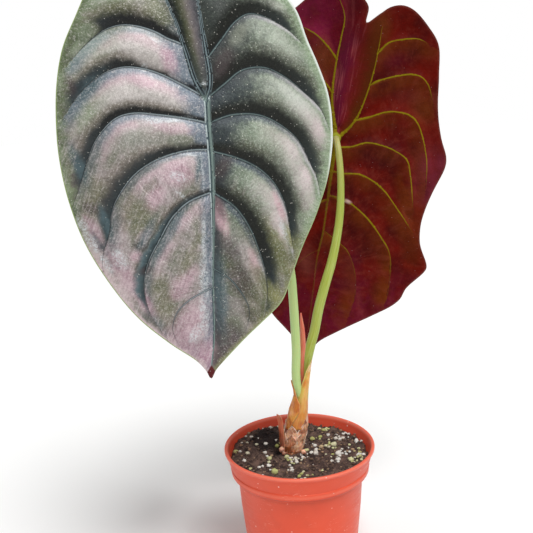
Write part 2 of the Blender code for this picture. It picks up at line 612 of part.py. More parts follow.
def scoop(name, z0, height, half_angle, thick, stations, rows=9, cols=7):
    """Pointed papery scale: an upright curved plate that narrows to its tip.

    Each station is (share of height, centre x, centre y, radius x, radius y, facing angle).
    """
    share = [s[0] for s in stations]
    verts, faces = [], []
    for inner in (True, False):
        for i in range(rows):
            h = i / (rows - 1)
            width = half_angle * (1 - h ** 2.2) + 1.5
            cx, cy, rx, ry, facing = [float(np.interp(h, share, [s[k] for s in stations])) for k in range(1, 6)]
            grow = 0 if inner else thick
            for j in range(cols):
                a = math.radians(facing + width * (2 * j / (cols - 1) - 1))
                verts.append((cx + (rx + grow) * math.cos(a), cy + (ry + grow) * math.sin(a), z0 + height * h))
    half = rows * cols
    for i in range(rows - 1):
        for j in range(cols - 1):
            q = (i * cols + j, i * cols + j + 1, (i + 1) * cols + j + 1, (i + 1) * cols + j)
            faces.append(q)
            faces.append(tuple(v + half for v in reversed(q)))
    rim = [j for j in range(cols)] + [i * cols + cols - 1 for i in range(1, rows)]
    rim += [(rows - 1) * cols + j for j in reversed(range(cols - 1))] + [i * cols for i in reversed(range(1, rows - 1))]
    for a, b in zip(rim, rim[1:] + rim[:1]):
        faces.append((b, a, a + half, b + half))
    return add_object(name, verts, faces)


def make_leaf(name, stalk_name, outline, midrib, lobes, veins, bend, at, turn, stalk):
    blade = Blade(outline, midrib, lobes, veins, bend)
    leaf = blade.build(name, at, turn)
    seat, normal = blade.seat(at, turn)
    last = stalk[-1][3]
    path = list(stalk) + [(*(seat - 2.2 * normal), last), (*seat, last + 0.5)]
    return leaf, tube(stalk_name, path, 9, 4.2, end_normal=normal)


def main():
    for obj in list(bpy.data.objects):
        bpy.data.objects.remove(obj)
    made = [make_pot(), make_soil(), make_rhizome()]
    made += make_leaf("leaf_front", "petiole_front", FRONT_OUTLINE, FRONT_MIDRIB,
                      [FRONT_LOBE_LEFT, FRONT_LOBE_RIGHT], FRONT_SIDE_VEINS, FRONT_BEND,
                      FRONT_AT, FRONT_TURN, STALK_FRONT)
    made += make_leaf("leaf_back", "petiole_back", BACK_OUTLINE, BACK_MIDRIB,
                      [BACK_LOBE_LEFT, BACK_LOBE_RIGHT], BACK_SIDE_VEINS, BACK_BEND,
                      BACK_AT, BACK_TURN, STALK_BACK)
    made.append(tube("new_leaf", NEW_LEAF, 8, 5.0))
    made.append(scoop("sheath_right", CROWN_Z + GAP, 28.0, 42, 0.65, SHEATH_RIGHT))
    made.append(scoop("sheath_left", CROWN_Z + GAP, 20.8, 48, 0.65, SHEATH_LEFT))
    for obj in made:
        paint(obj)


main()
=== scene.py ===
"""Looks of a potted red secret alocasia: quilted leaves, stalks, sheaths, soil and pot.

Lengths are in millimetres until a mesh is made, and colours are hex codes of what a display shows.
"""
import math
import random

import bpy
import numpy as np
from mathutils import Euler, Matrix, Vector, noise
from mathutils.geometry import delaunay_2d_cdt


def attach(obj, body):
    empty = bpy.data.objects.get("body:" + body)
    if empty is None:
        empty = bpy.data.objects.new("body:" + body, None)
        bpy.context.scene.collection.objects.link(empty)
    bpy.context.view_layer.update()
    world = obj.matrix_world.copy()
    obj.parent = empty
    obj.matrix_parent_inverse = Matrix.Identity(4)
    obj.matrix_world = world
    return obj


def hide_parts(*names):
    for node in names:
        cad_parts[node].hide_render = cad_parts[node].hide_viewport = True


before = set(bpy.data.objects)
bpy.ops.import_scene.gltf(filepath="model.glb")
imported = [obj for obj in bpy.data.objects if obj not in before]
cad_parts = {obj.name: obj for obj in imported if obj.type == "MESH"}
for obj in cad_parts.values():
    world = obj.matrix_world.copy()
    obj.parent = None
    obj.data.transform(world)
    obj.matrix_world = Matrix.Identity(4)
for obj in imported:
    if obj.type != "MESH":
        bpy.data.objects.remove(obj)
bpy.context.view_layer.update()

MM = 0.001

# Camera of the photograph: side and focal length in pixels, place in metres, lean and roll in degrees.
PHOTO_SIDE = 533
FOCAL_LENGTH = 800
SENSOR_WIDTH = 36
CAMERA_AT = (-0.01065092, -0.32084876, 0.20988484)
CAMERA_LEAN = 77
CAMERA_ROLL = -2.6


def table(text):
    """Rows of numbers from text: a blank or a line end between rows, commas between the numbers of one."""
    return [tuple(float(n) for n in row.split(",")) for row in text.split()]


# Pot and soil
POT_LIP_RADIUS = 32.5
POT_HEIGHT = 56.5
POT_BASE_RADIUS = 23.1
POT_WALL = 1.2
POT_SIDES = 144
BAND_Z = 45.7
BAND_RADIUS = 29.7
BODY_TOP_RADIUS = 27.1
FLOOR_Z = 3.0
DRAIN_HOLES = 6
DRAIN_HOLE_RADIUS = 2.6
DRAIN_RING_RADIUS = 13.0
DRAIN_REACH = (-3.0, 7.0)
DRAIN_SIDES = 40
SOIL_TOP_Z = 52.6
GRAIN_LIFT = 0.25
SOIL_SIDES = 168
SOIL_RINGS = 60
BASE_CENTRE = (-2.8, 0.0)
CROWN_CENTRE = (-0.6, 0.0)
CROWN_Z = 66.0
HOLE_BOTTOM_Z = 40.0
STEM_RADIUS = 5.0
STEM_CLEAR = 5.2
STEM_SIDES = 48

# Leaf blades
PILLOW_RISE = 0.5
SEAT_RADIUS = 1.6
SEAT_DEPTH = 3.2
GRID_STEP = 0.8
GRID_SPAN = ((-60, 60), (-112, 76))

FRONT_AT = (-29.2, -29.6, 204.4)
FRONT_TURN = (80.3, 2.5, 7.4)
FRONT_BEND = (0.0026, 0.0007, 0.0014)
FRONT_OUTLINE = table("""
-12.5,52.5 -15,57 -19,60 -24.5,60 -30.5,57 -36,50 -40,42.5 -45,31.5 -50.5,19 -53,5.5 -53.5,-12 -52,-26 -49,-39
-44,-52 -36.5,-65 -26.5,-78 -15,-88 -6,-94.5 -2.5,-98.5 -0.7,-101.5 1,-98.5 4,-95 13,-86 22.5,-77.5 26.5,-73 31,-62
35,-52 39.5,-42.5 44,-30.5 46.5,-17.5 47,-10 45.5,2.5 41.5,14 37.5,23.5 34,33 27,43 21.5,51 15,59 7.5,65 0.5,66.5
-6,63 -10,57
""")
FRONT_MIDRIB = table("0,0 0.3,-9.5 1,-22.5 1,-49 0.5,-66.5 0.5,-86 -0.7,-98")
FRONT_LOBE_LEFT = table("0,0 -4,6.5 -7,16.5 -10,27 -13.5,36 -17.5,45 -22,53")
FRONT_LOBE_RIGHT = table("0,0 1.3,7.5 0,18.5 -1.5,30 -2.4,40 -1.2,51 1,60")
FRONT_SIDE_VEINS = [table(vein) for vein in """
-14.5,38 -20.5,43 -28,44.5 -36,41
-7.6,19.4 -9.6,20.4 -13.1,21.8 -17.2,24.1 -21.3,25.7 -25,26.6 -29.4,26.9 -34.6,25.6 -39.5,22.5 -43.7,18.8 -47.6,14.8
-0.5,1 -9.5,6 -16.5,9.5 -23,11.5 -29.5,12 -36,10 -43.5,4.5 -51,-5
0,-8 -7,-6.5 -17,-5 -26,-4.2 -32,-5.7 -37,-10 -41,-16 -46.5,-31 -49,-37
0.7,-17.5 -7,-17.7 -15.5,-19.7 -22.5,-23 -27.5,-27 -32,-33 -34.5,-38 -36,-46.5 -38.7,-55 -39,-59.5
1,-32.5 -7.5,-36 -13.5,-41.5 -18,-49 -22.5,-57.5 -24.3,-66 -22.5,-76 -18.5,-83
0.5,-67 -7.5,-71 -12.5,-75.5 -14.5,-82 -12.5,-88
-2,38 4,43 12,46 20,44.5 27,38
0.8,15 6,21.7 11,28 16,31 23,29.7 30,26 36,21
0.5,1 6.3,5.6 13,10.7 21,11.8 28,9 35,4 42.5,-3 45.5,-9.5
0.5,-8 9,-5.2 18.5,-5.2 26,-8.3 33,-14 37,-21 40.5,-28.5 41.8,-34.5
1,-18 11,-20.8 18.5,-24.6 24,-30 28,-38.3 29.7,-47.5 31.5,-57.5
1,-32.5 9,-38 14,-45 17.7,-54 20,-62.5 20.7,-71 19.5,-79
0.5,-60 7,-64.5 12.5,-72.5 13.7,-77 12,-85.5
""".strip().splitlines()]

# Patches of the upper skin by their colour: x, y, half length, half width, angle in degrees.
BLOTCHES = {
    "rose": table("""
-41.5,-47.5,8,3.2,-68 -22.2,-46.7,3.4,2,20 -26.7,-55,2.6,1.8,0 -45,-42,3,2,-60 -31,-62,11,3.4,-60 -9,-81,10,6,60
16.1,-60,6,1.7,-75 25.5,-38,6,1.3,-70 -10,-64.6,7,3.2,45 -11,-26.5,6,4,10 -2.6,-92,5,2.2,70 -19,-34,5,3,60
-16,-12,8,2,5 -13,14,5,2.6,-70 -12,-68,5,3,30 -24,-72,6,2.4,-55 4,-42,7,2,-75 -22,6.6,5,2.2,-20
"""),
    "olive": table("""
6.4,-60,5,2.6,-70 -26.6,-40.2,8,5,-60 25.4,-56,9,5,-60 14.5,-68,5,2.4,-50 -40.6,-31.5,7,4,-65 -17.7,-71,9,3.6,-82
18,-74.4,5,4,-40 30,-66,7,2.6,-66 -31,30,9,5,25 -20,-47.5,5,3,60 -17,31,8,5,-60 21.4,-54,12,4.5,-62
13.6,-70,7,3.4,-60 -43,-36.4,5,3.4,-30 17.5,-64,6,3,-62 -8,-56,8,2,62 16,-69,5,4,0 -10,-14.2,5,1.8,-4
"""),
    "teal": table("""
-37,-42.5,6,1.2,-72 3.4,-70,14,2.4,-90 -22.5,-47,6,1.8,62 -41,5,6,2.4,45 -46,-22,8,2.2,-68 -14.4,-46.4,11,1.9,58
-3.7,-24.2,5,1,80
"""),
    # Pale marks: white scuffs, and painted highlights on the knob, the crests and the veins.
    "scuff_and_highlight": table("""
-16.6,20.6,3.6,0.7,-28 -18.5,-6.6,4.4,0.6,-3 -2.8,-70,15,1.9,-90 -32.4,-56,4,2.4,-60 -11,-27,3,1.6,-20
-21.4,11.4,1.2,0.5,50 -0.9,5.6,1.3,0.6,0 27,-47,5,1.1,-70 -6.5,-19.1,5,0.5,-6 -2.3,-26,7,0.35,-87
-10.5,-33.2,3,0.6,-38 -6,-84,4,2.2,60 -2.4,-50,10,0.8,-90 -14,-7,9,0.9,6 -21.8,11.6,1.4,1,60 -45.5,-43,3,1.6,-60
-42.5,-49.5,5,1.6,-60 -37.5,-57.5,4,1.4,-55
"""),
    "dusky": table("""
-25.2,-51.3,2.6,1.8,0 4.5,-89,6,2.4,-70 -48,6,4,2,-65 11.5,-63.5,7,2.2,-55 6,13,6,3,60 5,-24,5,2.6,60
3.5,-38,5,2,-70 10.2,-64.6,8,4,-70 6.8,-53.6,6,3,-60 -42.3,-37.4,3.6,2,-20 3.5,-92,5,2,60 8,-85,6,3,-60
-23.6,-60.2,2.6,1.4,20 4,-82,7,2.4,-80
"""),
    "clear": table("""
-42,24.8,5,3,10 -44,20,5,2.4,42 -40.8,-43.5,7,1.7,-67 -27.6,-72,5,2,-50 -17.5,14,9,3.4,-16 34.5,-45,5,2,-65
28.6,-53,6,3,-62 20.5,-69,6,3,-60 -10,7.6,4,2.4,-40
"""),
    "lime": table("""
13.5,-66.5,8.5,2.4,-60 25.5,-56,11,3.4,-64 22.5,-70,7,3,-55 15,-78.5,5,3,-50 30.5,-50,5,2.4,-66
"""),
    "moss": table("""
12.2,23.2,5,2.4,58 -20,-13,11,2.6,0 -10.5,-14,5,2.2,-4 -25,-13,5,2.4,20
"""),
}

BACK_AT = (22.7, 40.1, 184.0)
BACK_TURN = (84.0, -2.5, 179.4)
BACK_BEND = (0.0022, 0.0007, 0.0012)
BACK_OUTLINE = table("""
-11.5,49.5 -17,53 -21.5,55.8 -26.3,56.4 -31,54.5 -37.3,48 -42,40.5 -43.3,27.7 -43.8,14 -46.2,1 -49,-8 -48.7,-12.5
-43.5,-25 -39.8,-38 -39.7,-47.5 -43.3,-58.5 -42.5,-61 -34.5,-69.5 -31.3,-75.4 -18.8,-83.5 -9.2,-88.2 -1.6,-92.2
5.5,-96 12.3,-101.5 17,-95 22.6,-88.4 28,-82 35,-70 39,-58 42,-45 45,-32 46,-18 45,-5 43,8 41,20 38,32 33,42 26,50
18,56 11,61.5 4.5,64.5 -2.5,64 -7.5,61.3 -12,56
""")
BACK_MIDRIB = table("0,0 1.6,-16.5 3,-29.5 4.7,-43.5 7.2,-55.5 9,-72 12,-98")
BACK_LOBE_LEFT = table("0,0 -4.5,3.2 -9,8.8 -14.3,23.4 -17,37 -18.2,48")
BACK_LOBE_RIGHT = table("0,0 2,17.4 0.5,34.5 -1,43 -2.2,52 0.5,60")
BACK_SIDE_VEINS = [table(vein) for vein in """
-17,37 -21.6,41.3 -27.3,42.6 -34,42.8 -38,41
-14.3,23.4 -18.6,25.4 -26.4,27.4 -32.2,28 -36,27 -39.2,23.7 -42,15
-8.5,8 -14.4,9.2 -21.4,11.5 -26.3,11.8 -32.3,10.3 -36,6.5 -40.3,-7.5 -41.2,-22
0.3,-4 -6.8,-4 -14,-2.1 -20,-3 -26.2,-5.3 -32,-9.5 -34,-17 -36,-33
1,-15 -3.6,-16 -11.3,-16.5 -17.7,-19.6 -23,-24.2 -28.5,-31.5 -36.5,-43
2.7,-26 -5.5,-28.7 -10.8,-32.4 -16.3,-37.7 -21.8,-45.2 -26.2,-53 -26.6,-67 -25.5,-76
4,-43 -1,-47 -6.5,-52 -10,-60 -11.2,-72 -8.4,-84
0.5,34.5 4.7,39.8 9.7,44.6 17,48.5
1.7,20 8,27 17,31 27,31 34,28
0.5,4 8,11 18,14 28,12.5 36,7 41,-4
0.5,-4 9,-2 18,-2.5 27,-6 35,-13 40,-24 41.5,-32
1.5,-15 10,-15 19,-19 27,-26 33,-36 36,-48 36.5,-56
3,-28 11,-31 19,-37 26,-46 30,-58 31,-70
6.5,-52 12,-55 18,-61 22,-70 22.5,-82
""".strip().splitlines()]

# Stalks: (x, y, z) of the centre line and the radius there.
STALK_FRONT = table("""
0.2,-2.3,66.3,1.4 0.7,-2.6,72,1.4 1,-2.9,77,1.45 0.5,-3.3,82,1.65 -0.3,-3.6,88,1.85 0.1,-4.2,100,1.85
-0.1,-5.4,113,1.85 -0.5,-7.2,125,1.8 -1,-9,134,1.8 -3.3,-11.6,149,1.7 -7.4,-14.6,165.5,1.65 -12.8,-17.6,180,1.6
-19,-20.2,191.5,1.5 -24.5,-21.8,198.8,1.5 -28,-22.8,202.2,1.5
""")
STALK_BACK = table("""
1.3,2.3,66.3,2 2.3,2.5,72,2.05 2.9,2.8,79,2.1 3.3,3.3,85.6,2.2 4.9,4.2,93,2.15 6.7,5.4,99.2,2.1 8.6,6.9,105,2.1
11,9.2,114.6,2.1 13.9,11.8,123.3,2.1 17.2,14.8,132.2,2 19.8,17.8,141.2,1.85 21.6,20.5,149.4,1.75
22.7,23.2,157.2,1.65 23.3,26.3,168,1.5 23.2,28.8,175,1.45 22.9,31.4,180.5,1.4
""")
NEW_LEAF = table("""
2,-1.9,66.3,1.1 2.4,-1.5,72,1.1 2.3,-1.1,78,1.1 1.9,-0.6,83.6,1.1 2.4,-0.4,94.6,1.15 3.1,-0.2,101,1.2 3.2,0,108,0.95
2.9,0.2,112.5,0.6 2.8,0.3,115.2,0.3
""")

# Old leaf scales on the rhizome: foot height, length, facing angle, flare of the tip, lightness.
SCALES = table("""
54.7,8.5,20,0.4,0.2 54.8,8,105,0.5,0.2 54.6,8.8,292,0.5,0.45 54.8,8.6,205,0.5,0 54.4,9,250,0.9,-0.25
59.5,8.2,62,0.5,0.2 59.3,7.8,150,0.4,0.2 58.6,10.6,312,0.3,0.5 58.4,8.6,245,0.5,0.3
""")
# Sheaths: share of height, centre (x, y), radii across and in depth, right and left edge angles.
OLD_SCALE = table("""
0,-2.8,0,5,4.9,176,226 0.5,-2.8,0,5.3,5,180,228 0.8,-2.8,0,5.9,5.3,186,230 0.94,-2.8,0,6.4,5.6,190,230
1,-2.8,0,6.6,5.7,198,222
""")
SHEATH_RIGHT = table("""
0,-0.3,0,4.2,4.4,-140,25 0.12,-0.1,0,3.9,4.5,-130,28 0.25,0.1,0.1,3.7,4.6,-112,30 0.45,0.7,0.2,3.5,4.7,-106,30
0.6,1.1,0.25,3.6,4.75,-92,29 0.74,1.5,0.3,3.77,4.8,-76,27 0.88,1.9,0.4,4,4.9,-60,24 0.96,2.1,0.45,4.15,4.9,-42,14
1,2.2,0.5,4.2,4.9,-12,2
""")
SHEATH_LEFT = table("""
0,-0.6,0,4.4,4.7,165,225 0.1,-0.4,-0.2,4.2,4.75,165,233 0.25,-0.2,-0.5,3.9,4.8,166,254 0.38,0.1,-0.7,3.6,4.7,168,276
0.55,0.6,-1.1,2.7,4.5,172,276 0.69,0.7,-1.4,1.9,4.3,176,238 0.82,0.5,-2,2,3.6,180,224
0.95,-0.15,-2.5,1.95,3.1,182,208 1,-0.4,-2.8,1.9,2.8,188,198
""")
# Stains on the sheaths: place across, share of height, half width, half height, share, colour.
STAINS_RIGHT = [
    (-0.75, 0.71, 0.5, 0.1, 0.9, "#ce7a1e"), (0, 0.93, 1.6, 0.11, 0.85, "#ecbea0"),
    (0.8, 0.5, 0.5, 0.36, 0.85, "#f4c45c"), (0.4, 0.1, 0.6, 0.12, 0.85, "#f8d0be"),
    (-0.3, 0.08, 0.3, 0.09, 0.8, "#c4703c"),
]
STAINS_LEFT = [
    (0.35, 0.5, 0.5, 0.15, 0.9, "#cc760a"), (0.1, 0.35, 0.5, 0.1, 0.85, "#fab276"),
    (-0.6, 0.28, 0.4, 0.14, 0.75, "#9c5c28"), (0.6, 0.12, 0.5, 0.1, 0.6, "#ce8058"),
]

# Groups of perlite grains on the soil: x, y, spread, count, first and last tint.
# A tint runs from white (0) over green (0.9) to tan (1).
PERLITE = table("""
-14,22,1.8,2,0,0.4 -23,-9,1.2,1,0,0.2 -13.5,-15,1.4,2,0,0.3 -20.5,-15.5,1,1,0.75,0.85 -2.6,-7,4,14,0,0.75
-3,-9.5,2.6,6,0.6,0.9 5,-4,2.6,6,0,0.5 14.5,4,3,9,0.5,0.9 12.5,21.5,2.6,6,0.6,0.9 9,13,1.6,3,0.6,0.95
18,11,4,5,0,0.6 20,-1,3.4,6,0,0.5 16,-6,3,5,0,0.8 24,-9,3,8,0.55,0.9 16,-22,1.8,3,0,0.3 1.5,-23.5,3.6,9,0.55,0.9
-2,-26,1.6,2,0,0.2 -5,-17,2,3,0,0.8 26,8,2.5,3,0,0.5 23,15,2.5,3,0,0.5 6,6,2,2,0,0.5 0,0,29,34,0,1 14,0,15,22,0,1
-16,4,12,6,0,0.6
""")


# Camera
def make_camera():
    """The photograph's viewpoint, 0.32 m in front of the pot and 0.21 m up, leaning 13 degrees down."""
    data = bpy.data.cameras.new("camera")
    data.sensor_width = SENSOR_WIDTH
    data.lens = SENSOR_WIDTH * FOCAL_LENGTH / PHOTO_SIDE
    data.clip_start = 0.01
    cam = bpy.data.objects.new("camera", data)
    bpy.context.scene.collection.objects.link(cam)
    lean = Matrix.Rotation(math.radians(CAMERA_LEAN), 4, "X")
    roll = Matrix.Rotation(math.radians(CAMERA_ROLL), 4, "Z")
    cam.matrix_world = Matrix.Translation(CAMERA_AT) @ lean @ roll
    bpy.context.scene.camera = cam


# Curves
def smooth_line(points, step, closed=False):
    """Even points, about step apart, on a centripetal spline through given points."""
    pts = [np.array(p, float) for p in points]
    n = len(pts)
    if closed:
        ring = [pts[(i - 1) % n] for i in range(n + 3)]
    else:
        ring = [2 * pts[0] - pts[1]] + pts + [2 * pts[-1] - pts[-2]]
    fine = []
    for i in range(1, len(ring) - 2):
        p0, p1, p2, p3 = ring[i - 1:i + 3]
        t1 = math.sqrt(np.linalg.norm(p1 - p0))
        t2 = t1 + math.sqrt(np.linalg.norm(p2 - p1))
        t3 = t2 + math.sqrt(np.linalg.norm(p3 - p2))
        for t in np.linspace(t1, t2, 25)[:-1]:
            a1 = (t1 - t) / t1 * p0 + t / t1 * p1
            a2 = (t2 - t) / (t2 - t1) * p1 + (t - t1) / (t2 - t1) * p2
            a3 = (t3 - t) / (t3 - t2) * p2 + (t - t2) / (t3 - t2) * p3
            b1 = (t2 - t) / t2 * a1 + t / t2 * a2
            b2 = (t3 - t) / (t3 - t1) * a2 + (t - t1) / (t3 - t1) * a3
            fine.append((t2 - t) / (t2 - t1) * b1 + (t - t1) / (t2 - t1) * b2)
    fine.append(pts[0] if closed else pts[-1])
    fine = np.array(fine)
    along = np.concatenate([[0], np.cumsum(np.linalg.norm(np.diff(fine, axis=0), axis=1))])
    count = max(2, round(along[-1] / step) + 1)
    at = np.linspace(0, along[-1], count)
    even = np.stack([np.interp(at, along, fine[:, k]) for k in range(fine.shape[1])], 1)
    return even[:-1] if closed else even


def line_distance(p, line, block=3000):
    """Distance to a polyline, the side it lies on (-1 to 1) and the share of length passed."""
    a, ab = line[:-1], np.diff(line, axis=0)
    length = np.maximum((ab ** 2).sum(1), 1e-12)
    parts = []
    for start in range(0, len(p), block):
        q = p[start:start + block]
        dx, dy = q[:, :1] - a[:, 0], q[:, 1:] - a[:, 1]
        t = np.clip((dx * ab[:, 0] + dy * ab[:, 1]) / length, 0, 1)
        ox, oy = dx - t * ab[:, 0], dy - t * ab[:, 1]
        square = ox ** 2 + oy ** 2
        k = square.argmin(1)
        i = np.arange(len(q))
        d = np.sqrt(square[i, k])
        side = (ab[k, 0] * oy[i, k] - ab[k, 1] * ox[i, k]) / (np.sqrt(length[k]) * np.maximum(d, 1e-6))
        parts.append(np.stack([d, side, (k + t[i, k]) / len(a)]))
    return np.concatenate(parts, 1)


def inside(p, loop):
    """Even-odd test of points against a closed loop."""
    x, y = p[:, :1], p[:, 1:]
    x1, y1 = loop[:, 0], loop[:, 1]
    x2, y2 = np.roll(x1, -1), np.roll(y1, -1)
    cross = (y1 > y) != (y2 > y)
    with np.errstate(divide="ignore", invalid="ignore"):
        hit = cross & (x < (x2 - x1) * (y - y1) / (y2 - y1) + x1)
    return hit.sum(1) % 2 == 1


def smoothstep(low, high, value):
    t = np.clip((value - low) / (high - low), 0, 1)
    return t * t * (3 - 2 * t)


def unit(v):
    return v / np.linalg.norm(v, axis=-1, keepdims=True)


def circle(radius, z, count, x=0, y=0, turn=0):
    """Points round a level circle, turned by a share of one side."""
    angles = [2 * math.pi * (k + turn) / count for k in range(count)]
    return [(x + radius * math.cos(a), y + radius * math.sin(a), z) for a in angles]


# Meshes
def add_mesh(name, verts, faces, looks, fields=None, face_looks=None):
    """Object from millimetre vertices, with its named vertex fields and materials."""
    mesh = bpy.data.meshes.new(name)
    mesh.from_pydata((np.asarray(verts, float) * MM).tolist(), [], [tuple(f) for f in faces])
    for key, values in (fields or {}).items():
        mesh.attributes.new(key, "FLOAT", "POINT").data.foreach_set("value", np.asarray(values, np.float32))
    for look in looks:
        mesh.materials.append(look)
    if face_looks is not None:
        mesh.polygons.foreach_set("material_index", np.asarray(face_looks, np.int32))
    mesh.shade_smooth()
    mesh.update()
    obj = bpy.data.objects.new(name, mesh)
    bpy.context.scene.collection.objects.link(obj)
    return obj


def dress(obj, node):
    """The piece stands for a CAD node, hides that node and moves with the body."""
    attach(obj, "root")
    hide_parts(node)
    return obj


def grid_faces(rows, cols, wrap=False, start=0):
    faces = []
    for i in range(rows - 1):
        for j in range(cols if wrap else cols - 1):
            m = (j + 1) % cols
            faces.append((start + i * cols + j, start + i * cols + m,
                          start + (i + 1) * cols + m, start + (i + 1) * cols + j))
    return faces


def barrel(rows, cols, start=0):
    """Faces of stacked rings of vertices, closed at both ends."""
    last = start + (rows - 1) * cols
    ends = [tuple(range(start, start + cols))[::-1], tuple(range(last, last + cols))]
    return grid_faces(rows, cols, wrap=True, start=start) + ends


def join(verts, faces, more, more_faces):
    """Adds another shape to a list of vertices and a list of faces."""
    base = len(verts)
    verts += more.tolist()
    faces += [tuple(i + base for i in face) for face in more_faces]


# Node materials
def seen(tint):
    """Linear colour from the hex code of a display colour."""
    out = []
    for i in (1, 3, 5):
        v = int(tint[i:i + 2], 16) / 255
        out.append(v / 12.92 if v <= 0.04045 else ((v + 0.055) / 1.055) ** 2.4)
    return (*out, 1.0)


def math_node(operation):
    return lambda self, other=0: self.look.calc(operation, self, other)


class Value:
    """A node's output, reckoned with like a number: each operation adds a Math node."""

    __add__, __sub__, __mul__ = math_node("ADD"), math_node("SUBTRACT"), math_node("MULTIPLY")
    __truediv__, __pow__, __abs__ = math_node("DIVIDE"), math_node("POWER"), math_node("ABSOLUTE")
    root, top = math_node("SQRT"), math_node("MAXIMUM")

    def __init__(self, look, socket):
        self.look, self.socket = look, socket

    def step(self, low, high, first=0, last=1):
        """Smooth change from first at low to last at high."""
        return self.look.add("MapRange", 0, {
            "Value": self, "From Min": low, "From Max": high, "To Min": first, "To Max": last,
        }, interpolation_type="SMOOTHSTEP")


class Look:
    """A node material and short calls that wire it. Its colour is laid on in layers."""

    def __init__(self, name):
        self.mat = bpy.data.materials.new(name)
        self.mat.use_nodes = True
        self.tree = self.mat.node_tree
        self.shader = self.tree.nodes["Principled BSDF"]
        self.place = self.add("TexCoord", "Object")

    def put(self, socket, value):
        if isinstance(value, Value):
            self.tree.links.new(value.socket, socket)
        else:
            socket.default_value = seen(value) if isinstance(value, str) else value

    def add(self, kind, out, inputs=None, **settings):
        """Output of a new node."""
        made = self.tree.nodes.new("ShaderNode" + kind)
        for key, value in settings.items():
            setattr(made, key, value)
        for key, value in (inputs or {}).items():
            self.put(made.inputs[key], value)
        return Value(self, made.outputs[out])

    def field(self, *names):
        """Vertex fields by name: one, or a list of them."""
        made = [self.add("Attribute", "Fac", attribute_name=name) for name in names]
        return made if len(names) > 1 else made[0]

    def calc(self, operation, a, b=0, clamp=False):
        return self.add("Math", 0, {0: a, 1: b}, operation=operation, use_clamp=clamp)

    def axis(self, k):
        return self.add("SeparateXYZ", k, {0: self.place})

    def vector(self, x=0, y=0, z=0):
        return self.add("CombineXYZ", 0, {0: x, 1: y, 2: z})

    def noise(self, scale, detail=2, rough=0.5, place=(), bend=0):
        return self.add("TexNoise", "Fac", {
            "Vector": self.vector(*place) if place else self.place, "Scale": scale, "Detail": detail,
            "Roughness": rough, "Distortion": bend,
        })

    def cells(self, scale, feature="F1"):
        return self.add("TexVoronoi", "Distance", {"Vector": self.place, "Scale": scale}, feature=feature)

    def blend(self, share, a, b, mode="MIX"):
        return self.add("Mix", 2, {0: share, 6: a, 7: b}, data_type="RGBA", blend_type=mode)

    def mix(self, share, a, b):
        """Number between a and b."""
        return self.add("Mix", 0, {0: share, 2: a, 3: b}, data_type="FLOAT")

    def lay(self, share, tint, mode="MIX"):
        """One more layer of colour."""
        self.colour = self.blend(share, self.colour, tint, mode)

    def spot(self, x, y, at_x, at_y, wide, high, soft=0.7):
        """Soft ellipse, 1 in its middle and 0 outside."""
        dx, dy = (x - at_x) / wide, (y - at_y) / high
        return (dx * dx + dy * dy).root().step(1, 1 - soft)

    def stains(self, x, y, torn, spots):
        """Layers of torn stains: (x, y, half width, half height, share, colour) each."""
        for at_x, at_y, wide, high, share, tint in spots:
            spot = self.spot(x, y, at_x, at_y, wide, high, 0.9)
            self.lay(self.calc("MULTIPLY", spot, torn * share, clamp=True), tint)

    def patch(self, name, tint, noise, share):
        """Layer of blotches from a vertex field, torn by a noise."""
        torn = noise * 0.7 + (self.field(name) - 0.35)
        self.lay(torn.step(0.1, 0.95, 0, share), tint)

    def ramp(self, value, stops):
        made = self.add("ValToRGB", 0, {0: value})
        ramp = made.socket.node.color_ramp
        ramp.interpolation = "B_SPLINE" if len(stops) > 5 else "LINEAR"
        while len(ramp.elements) < len(stops):
            ramp.elements.new(0.5)
        for item, (at, tint) in zip(ramp.elements, stops):
            item.position = at
            item.color = seen(tint)
        return made

    def bump(self, height, strength, depth, **under):
        return self.add("Bump", 0, {"Height": height, "Strength": strength, "Distance": depth, **under})

    def finish(self, roughness, **fixed):
        for key, value in {"Base_Color": self.colour, "Roughness": roughness, **fixed}.items():
            self.put(self.shader.inputs[key.replace("_", " ")], value)
        return self.mat


# Leaf blade

# Half widths of the main veins above and below, by the share of their length.
MAIN_WIDTH = ([0, 0.3, 0.42, 0.75, 1], [1.35, 1.2, 0.75, 0.42, 0.3])
UNDER_WIDTH = ([0, 0.15, 0.35, 0.7, 1], [0.95, 0.7, 0.38, 0.22, 0.1])
# Reach of the dark fold above a side vein, left and right of the midrib: dark pigment with painted shade of the fold's
# lower slope.
FOLD_LEFT = (1.3, 2.7, 3.5, 4.2, 4.8)
FOLD_RIGHT = (3, 4.6, 4, 2.4, 1.4)
# Rows of close-set points: in from the margin, and beside a vein in shares of its half width.
MARGIN_ROWS = (0.28, 0.7)
VEIN_ROWS = (0.5, 0.85, 1.1, 2)
# Least distance between points: in those rows, and in the grid as a share of its step.
CLEAR_ROWS = 0.17
CLEAR_GRID = 0.55


